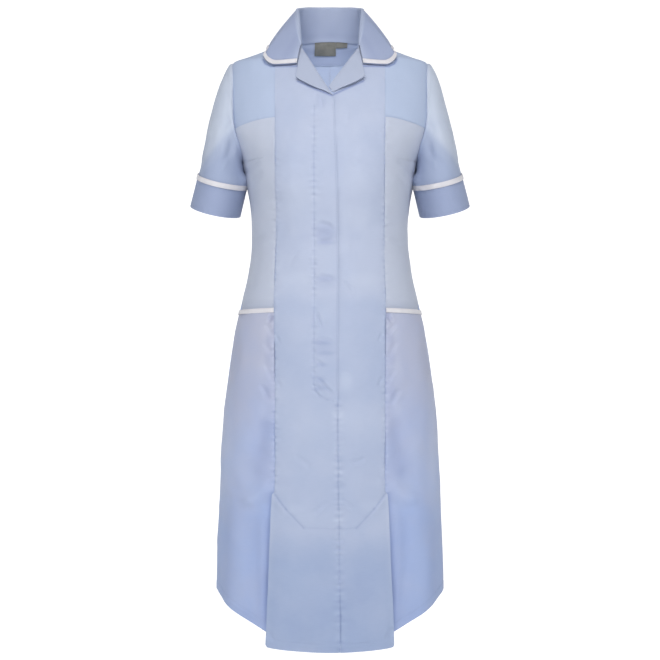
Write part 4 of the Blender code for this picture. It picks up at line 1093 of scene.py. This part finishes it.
def sew(name, panel, paths, material):
    tree = BVHTree.FromObject(panel, bpy.context.evaluated_depsgraph_get())
    bm = bmesh.new()
    for path in paths:
        path = np.array(path, float)
        run = np.concatenate([[0], np.cumsum(np.linalg.norm(np.diff(path, axis=0), axis=1))])
        at = np.arange(stitchLook["pitch"] / 2, run[-1], stitchLook["pitch"])
        middles, ahead = (np.stack([np.interp(at + o, run, path[:, k]) for k in range(3)], -1)
                          for o in (0, 0.0006))
        for middle, nextPoint in zip(middles, ahead):
            place, normal, _, _ = tree.find_nearest(Vector(middle))
            along = Vector(nextPoint) - Vector(middle)
            along = (along - normal * along.dot(normal)).normalized()
            across = normal.cross(along)
            turn = Matrix((along * stitchLook["length"] / 2, across * stitchLook["width"] / 2,
                           normal * stitchLook["width"] / 2)).transposed().to_4x4()
            turn.translation = place + normal * stitchLook["proud"]
            bmesh.ops.create_icosphere(bm, subdivisions=1, radius=1, matrix=turn)
    for face in bm.faces:
        face.smooth = True
    mesh = bpy.data.meshes.new(name)
    bm.to_mesh(mesh)
    bm.free()
    mesh.materials.append(material)
    thread = bpy.data.objects.new(name, mesh)
    bpy.context.scene.collection.objects.link(thread)
    return hold(thread, None)


def onFace(xs, zs, out=0.002):
    xs, zs = np.broadcast_arrays(np.array(xs, float), np.array(zs, float))
    turns = turnAt(xs, zs)
    return facePoint(turns, zs) + faceNormal(turns, zs) * out


def hemPath(turns, side):
    turns = np.array(turns, float)
    z = hemHeight(turns) + 0.0145
    return (facePoint(turns, z) + faceNormal(turns, z) * 0.002) * (side, 1, 1)


flyHeights = np.concatenate([np.linspace(-0.125, -0.584, 60), -0.584 - 0.030 * np.sin(np.linspace(0.1, 1.5, 16))])
flyAcross = np.concatenate([np.full(60, frontLook["flyLine"]),
                            frontLook["flyLine"] + 0.0385 * (1 - np.cos(np.linspace(0.1, 1.5, 16)))])
hemAcross = np.linspace(0.0185, 0.1020, 20)
sew("frontRightStitches", frontRight, [
    onFace(flyAcross, flyHeights),
    onFace(overEdge(np.linspace(-0.125, -0.60, 60)) - 0.0022, np.linspace(-0.125, -0.60, 60)),
    onFace([-0.0925, -0.0720, -0.0430, 0.0140], [-0.7640, -0.7905, -0.8205, -0.8215]),
    onFace(0.0150 - hemAcross, centreHemHeight(0.0150 - hemAcross) + 0.0145),
], blueThread)
sew("frontLeftStitches", frontLeft, [
    onFace([0.0925, 0.0720, 0.0430, 0.0150], [-0.7640, -0.7905, -0.8205, -0.8215]),
    onFace(hemAcross, centreHemHeight(hemAcross) + 0.0145),
], blueThread)
for side, word in ((1, "Left"), (-1, "Right")):
    share = np.linspace(0.02, 0.97, 30)
    across = mix(0.0920, 0.1500, share)
    sew("yoke" + word + "Stitches", made["yoke" + word], [
        onFace(across, yokeSeam(share) + 0.0022) * (side, 1, 1)], yokeThread)
    sew("skirt" + word + "Stitches", made["skirt" + word], [
        hemPath(np.linspace(30, 89, 40), side)], blueThread)
    sew("back" + word + "Stitches", made["back" + word], [
        hemPath(np.linspace(91, 179.6, 60), side)], blueThread)
    z = [pocketMouth(share) + 0.0004 - braidSize["width"] * edge for edge in (0.14, 0.86)]
    turns = mix(turnAt(princessSide(z[0]), z[0]), 90, share)
    sew("pocketBraid" + word + "Stitches", made["pocketBraid" + word], [
        (facePoint(turns, row) + faceNormal(turns, row) * 0.003) * (side, 1, 1) for row in z],
        whiteThread)
w = np.linspace(0.004, 0.996, 200)
collarFall = collarFace(w, w * 0 + 1)[1]
collarPaths = [collarFace(w, 1 - 0.5 * braidSize["width"] * edge / collarFall)[0] for edge in (0.14, 0.86)]
sew("collarBraidStitches", made["collarBraid"], [
    path + collarNormal(w, w * 0 + 0.97) * 0.003 for path in collarPaths], whiteThread)
facingTurns = np.linspace(100, 260, 60)
facingDepth = mix(0.0150, 0.0401, np.cos(np.radians(facingTurns)) ** 2) - 0.0030
facingHeights = neckHeight(np.minimum(facingTurns, 360 - facingTurns)) - 0.0012 - facingDepth
sew("facingStitches", made["neckFacing"], [
    facePoint(facingTurns, facingHeights) - faceNormal(facingTurns, facingHeights) * 0.0060],
    blueThread)
print("stitching laid")

# Sleeves and cuffs

sleeveLook = {
    "centre": (0.1984, 0.0080, -0.2917), "axis": (0.225, 0.190, -0.956), "across": 0.0426,
    "depth": 0.0620, "cuffHeight": 0.0530, "cuffOut": 0.0006, "taper": 0.0022,
    "columns": 128, "rows": 84, "cloth": 0.0010,
    "creases": [
        (160, -140, 184, -196, 6.0, 0.6, 5), (163, -166, 182, -222, 5.0, 0.5, -5),
        (172, -206, 178, -232, 4.0, -0.3, 0), (205, -205, 226, -222, 5.0, 0.3, 2),
    ],
}


def armholeRing(count):
    # points on the armhole's edge, evenly spread: shoulder tip, front, underarm, back
    z = shape["underarm"] + (shape["shoulderTip"] - shape["underarm"]) * (
        1 + np.cos(np.linspace(0, math.pi, 200))) / 2
    turns = np.concatenate([90 - armholeTurn(z, shape["frontScoop"]), 90 + armholeTurn(z[::-1], shape["backScoop"])[1:]])
    heights = np.concatenate([z, z[::-1][1:]])
    points, normals = facePoint(turns, heights), faceNormal(turns, heights)
    run = np.concatenate([[0], np.cumsum(np.linalg.norm(np.diff(points, axis=0), axis=1))])
    at = np.linspace(0, run[-1], count + 1)
    ring = np.stack([np.interp(at, run, points[:, k]) for k in range(3)], -1)
    out = unit(np.stack([np.interp(at, run, normals[:, k]) for k in range(3)], -1))
    along = np.roll(ring[:-1], -1, 0) - np.roll(ring[:-1], 1, 0)
    along = np.concatenate([along, along[:1]])
    middle = ring[:-1].mean(0)
    off = unit(np.cross(along, out))
    off = off * np.sign((off * (middle - ring)).sum(-1, keepdims=True))
    ring = ring + off * seamGap
    return ring, middle


ringPoints, ringMiddle = armholeRing(240)
ringAngles = np.arctan2(-(ringPoints[:, 1] - ringMiddle[1]) / 0.052,
                        (ringPoints[:, 2] - ringMiddle[2]) / ((shape["shoulderTip"] - shape["underarm"]) / 2))
ringAngles = np.unwrap(ringAngles)


def cuffPoint(angle, up, out):
    axis = Vector(sleeveLook["axis"]).normalized()
    outward = Vector((0, 1, 0)).cross(axis).normalized()
    outward = outward if outward.x > 0 else -outward
    forward = axis.cross(outward).normalized()
    forward = forward if forward.y < 0 else -forward
    axis, outward, forward = np.array(axis), np.array(outward), np.array(forward)
    taper = sleeveLook["taper"] * up / sleeveLook["cuffHeight"]
    centre = np.array(sleeveLook["centre"]) - axis * np.asarray(up)[..., None]
    across = (sleeveLook["across"] - taper + out) * np.cos(angle)
    across = across - smooth(-np.cos(angle)) * (0.0018 + 0.0030 * up / sleeveLook["cuffHeight"])
    depth = (sleeveLook["depth"] - taper + out) * np.sin(angle)
    normal = unit(outward * np.cos(angle)[:, None] * sleeveLook["depth"]
                  + forward * np.sin(angle)[:, None] * sleeveLook["across"])
    return centre + outward * across[:, None] + forward * depth[:, None], normal


def sleevePoint(u, s):
    start = np.stack([np.interp(u, np.linspace(0, 1, len(ringPoints)), ringPoints[:, k]) for k in range(3)], -1)
    angle = np.interp(u, np.linspace(0, 1, len(ringAngles)), ringAngles)
    top, front = np.cos(angle), np.sin(angle)
    leave = np.stack([0.0455 + 0.0295 * top, -0.0160 * front, -0.0210 - 0.0140 * top], -1)
    axis = np.array(Vector(sleeveLook["axis"]).normalized())
    arrive = axis * (0.1150 + 0.0800 * top)[:, None]
    end = cuffPoint(angle, np.full(len(u), sleeveLook["cuffHeight"] + seamGap), 0.0)[0]
    s = s[:, None]
    return (start * (1 + 2 * s) * (1 - s) ** 2 + leave * s * (1 - s) ** 2
            + end * s * s * (3 - 2 * s) + arrive * s * s * (s - 1))


def makeSleeve(side):
    def place(u, v):
        s = v * 0.9 + smooth(v) * 0.1
        points = sleevePoint(u, s)
        along = sleevePoint((u + 0.004) % 1, s) - sleevePoint((u - 0.004) % 1, s)
        down = sleevePoint(u, np.minimum(s + 0.01, 1)) - sleevePoint(u, np.maximum(s - 0.01, 0))
        normals = unit(np.cross(along, down))
        outward = points - sleevePoint(u * 0 + 0.25, s) * 0.5 - sleevePoint(u * 0 + 0.75, s) * 0.5
        normals = normals * np.sign((normals * outward).sum(-1, keepdims=True))
        relief = crumple(points * (side, 1, 1), 121 + side, 0.0009)
        relief = relief * smooth(s / 0.05) + 0.0011 * np.exp(-((s - 0.06) / 0.05) ** 2) * smooth(s / 0.02)
        angle = np.interp(u, np.linspace(0, 1, len(ringAngles)), ringAngles)
        bulge = 0.0068 * np.exp(-((s - 0.72) / 0.19) ** 2) + 0.0034 * np.exp(-((s - 0.26) / 0.15) ** 2)
        relief = relief + bulge * smooth((-np.cos(angle) - 0.70) / 0.30)  # towards the side of the dress
        front = np.exp(-((np.cos(angle) + 0.35) / 0.30) ** 2) * (np.sin(angle) > 0)
        relief = relief - 0.0028 * front * np.exp(-((s - 0.42) / 0.20) ** 2)
        lines = creases(points[:, 0], points[:, 2], sleeveLook["creases"]) * (normals[:, 1] < 0)
        relief = (relief + lines) * (1 - smooth((s - 0.93) / 0.07))
        points = points + normals * relief[:, None]
        return points * (side, 1, 1), normals * (side, 1, 1)

    def shade(points, u, v):
        s = v * 0.9 + smooth(v) * 0.1
        x, z = np.abs(points[:, 0]), points[:, 2]
        # painted shade in the armhole seam and in the hollow of the sleeve by the underarm
        dark = 0.10 * np.exp(-(s / 0.02) ** 2) * uneven(z, 127)
        inner = np.exp(-((x - 0.148 + (z + 0.2) * 0.1) / 0.010) ** 2) * np.exp(-((z + 0.200) / 0.045) ** 2)
        return dark + 0.14 * inner * (points[:, 1] < 0.02)

    name = "sleeveRight" if side < 0 else "sleeveLeft"
    return layPanel(name, sleeveLook["columns"], sleeveLook["rows"], place, sleeveCloth, sleeveLook["cloth"],
                    True, shade)


def makeCuffBand(name, side, top, bottom, out, material, cloth, rows, crown=0.0):
    def place(u, v):
        angle = u * 2 * math.pi
        lift = out + crown * np.sin(math.pi * v)
        points, normals = cuffPoint(angle, mix(top, bottom, v), lift)
        if not crown:
            relief = 0.0005 * softNoise(points * (side, 1, 1), 0.035, 131 + side) * smooth(v / 0.3)
            points = points + normals * relief[:, None]
        return points * (side, 1, 1), normals * (side, 1, 1)

    return layPanel(name, 96, rows, place, material, cloth, True)


for side, word in ((1, "left"), (-1, "right")):
    end = word.capitalize()
    hold(makeSleeve(side), "sleeve_" + word)
    hold(makeCuffBand("cuff" + end, side, sleeveLook["cuffHeight"], 0.0, sleeveLook["cuffOut"],
                      doubleCloth, 0.0012, 16), "cuff_" + word)
    hold(makeCuffBand("cuffBraid" + end, side, 0.0570, 0.0485, 0.0021, whiteBraid, braidSize["wall"], 6,
                      0.0003), "cuff_braid_" + word)
    rings = [cuffPoint(np.linspace(0.02, 2 * math.pi, 90), np.full(90, up), 0.005)[0] * (side, 1, 1)
             for up in (0.0050, 0.0445)]
    sew("cuff" + end + "Stitches", made["cuff" + end], rings, blueThread)
    rings = [cuffPoint(np.linspace(0.02, 2 * math.pi, 90), np.full(90, up), 0.006)[0] * (side, 1, 1)
             for up in (0.0497, 0.0558)]
    sew("cuffBraid" + end + "Stitches", made["cuffBraid" + end], rings,
                                     whiteThread)
print("sleeves and cuffs made")

# Stage, light and camera

stageLook = {"floorHeight": -1.60, "wallAt": 3.8, "halfWidth": 5.0, "radius": 0.9}


def makeStage():
    bm = bmesh.new()
    floor, wall, r = stageLook["floorHeight"], stageLook["wallAt"], stageLook["radius"]
    profile = [(-4.5, floor), (wall - r, floor)]
    profile += [(wall - r + r * math.sin(a), floor + r - r * math.cos(a)) for a in np.linspace(0.2, 1.4, 7)]
    profile += [(wall, floor + r), (wall, 4.0)]
    verts = [bm.verts.new((-stageLook["halfWidth"], y, z)) for y, z in profile]
    edges = [bm.edges.new(pair) for pair in zip(verts, verts[1:])]
    grown = bmesh.ops.extrude_edge_only(bm, edges=edges)
    moved = [g for g in grown["geom"] if isinstance(g, bmesh.types.BMVert)]
    bmesh.ops.translate(bm, verts=moved, vec=(2 * stageLook["halfWidth"], 0, 0))
    for face in bm.faces:
        face.smooth = True
    mesh = bpy.data.meshes.new("paleStage")
    bm.to_mesh(mesh)
    bm.free()
    stage = bpy.data.objects.new("paleStage", mesh)
    bpy.context.scene.collection.objects.link(stage)
    paper = bpy.data.materials.new("whitePaper")
    paper.use_nodes = True
    shader = paper.node_tree.nodes["Principled BSDF"]
    shader.inputs["Base Color"].default_value = (0.45, 0.45, 0.45, 1)
    shader.inputs["Roughness"].default_value = 0.9
    shader.inputs["Emission Color"].default_value = (1, 1, 1, 1)
    where = paper.node_tree.nodes.new("ShaderNodeTexCoord")
    apart = paper.node_tree.nodes.new("ShaderNodeSeparateXYZ")
    lit = paper.node_tree.nodes.new("ShaderNodeMapRange")  # the wall glows, the floor only a little
    for socket, value in (("From Min", 0.9), ("From Max", 1.9), ("To Min", 0.30), ("To Max", 0.85)):
        lit.inputs[socket].default_value = value
    paper.node_tree.links.new(where.outputs["Object"], apart.inputs[0])
    paper.node_tree.links.new(apart.outputs["Y"], lit.inputs["Value"])
    paper.node_tree.links.new(lit.outputs["Result"], shader.inputs["Emission Strength"])
    mesh.materials.append(paper)


def areaLight(name, place, aim, size, power, colour=(1, 1, 1)):
    data = bpy.data.lights.new(name, "AREA")
    data.shape = "RECTANGLE"
    data.size, data.size_y = size
    data.energy = power
    data.color = colour
    light = bpy.data.objects.new(name, data)
    bpy.context.scene.collection.objects.link(light)
    light.location = place
    light.rotation_euler = (Vector(aim) - Vector(place)).to_track_quat("-Z", "Y").to_euler()


makeStage()
world = bpy.data.worlds.new("softRoom")
bpy.context.scene.world = world
world.use_nodes = True
world.node_tree.nodes["Background"].inputs["Color"].default_value = (0.90, 0.95, 1.0, 1)
world.node_tree.nodes["Background"].inputs["Strength"].default_value = 0.20
areaLight("keyAbove", (0, -2.2, 1.25), (0, 0, -0.35), (2.6, 0.45), 62, (1.0, 0.97, 0.94))
areaLight("lowFront", (0, -2.0, -1.45), (0, 0, -0.95), (2.4, 0.5), 11)
for side in (-1, 1):
    areaLight("besideSkirt", (side * 2.2, -1.2, -0.60), (0, 0, -0.55), (0.8, 1.4), 13)

cameraData = bpy.data.cameras.new("camera")
cameraData.sensor_width = 36.0
cameraData.lens = 82.45
camera = bpy.data.objects.new("camera", cameraData)
bpy.context.scene.collection.objects.link(camera)
camera.location = (0, -2.6, -0.497)
camera.rotation_euler = (math.radians(90), 0, 0)
bpy.context.scene.camera = camera
print("stage made")
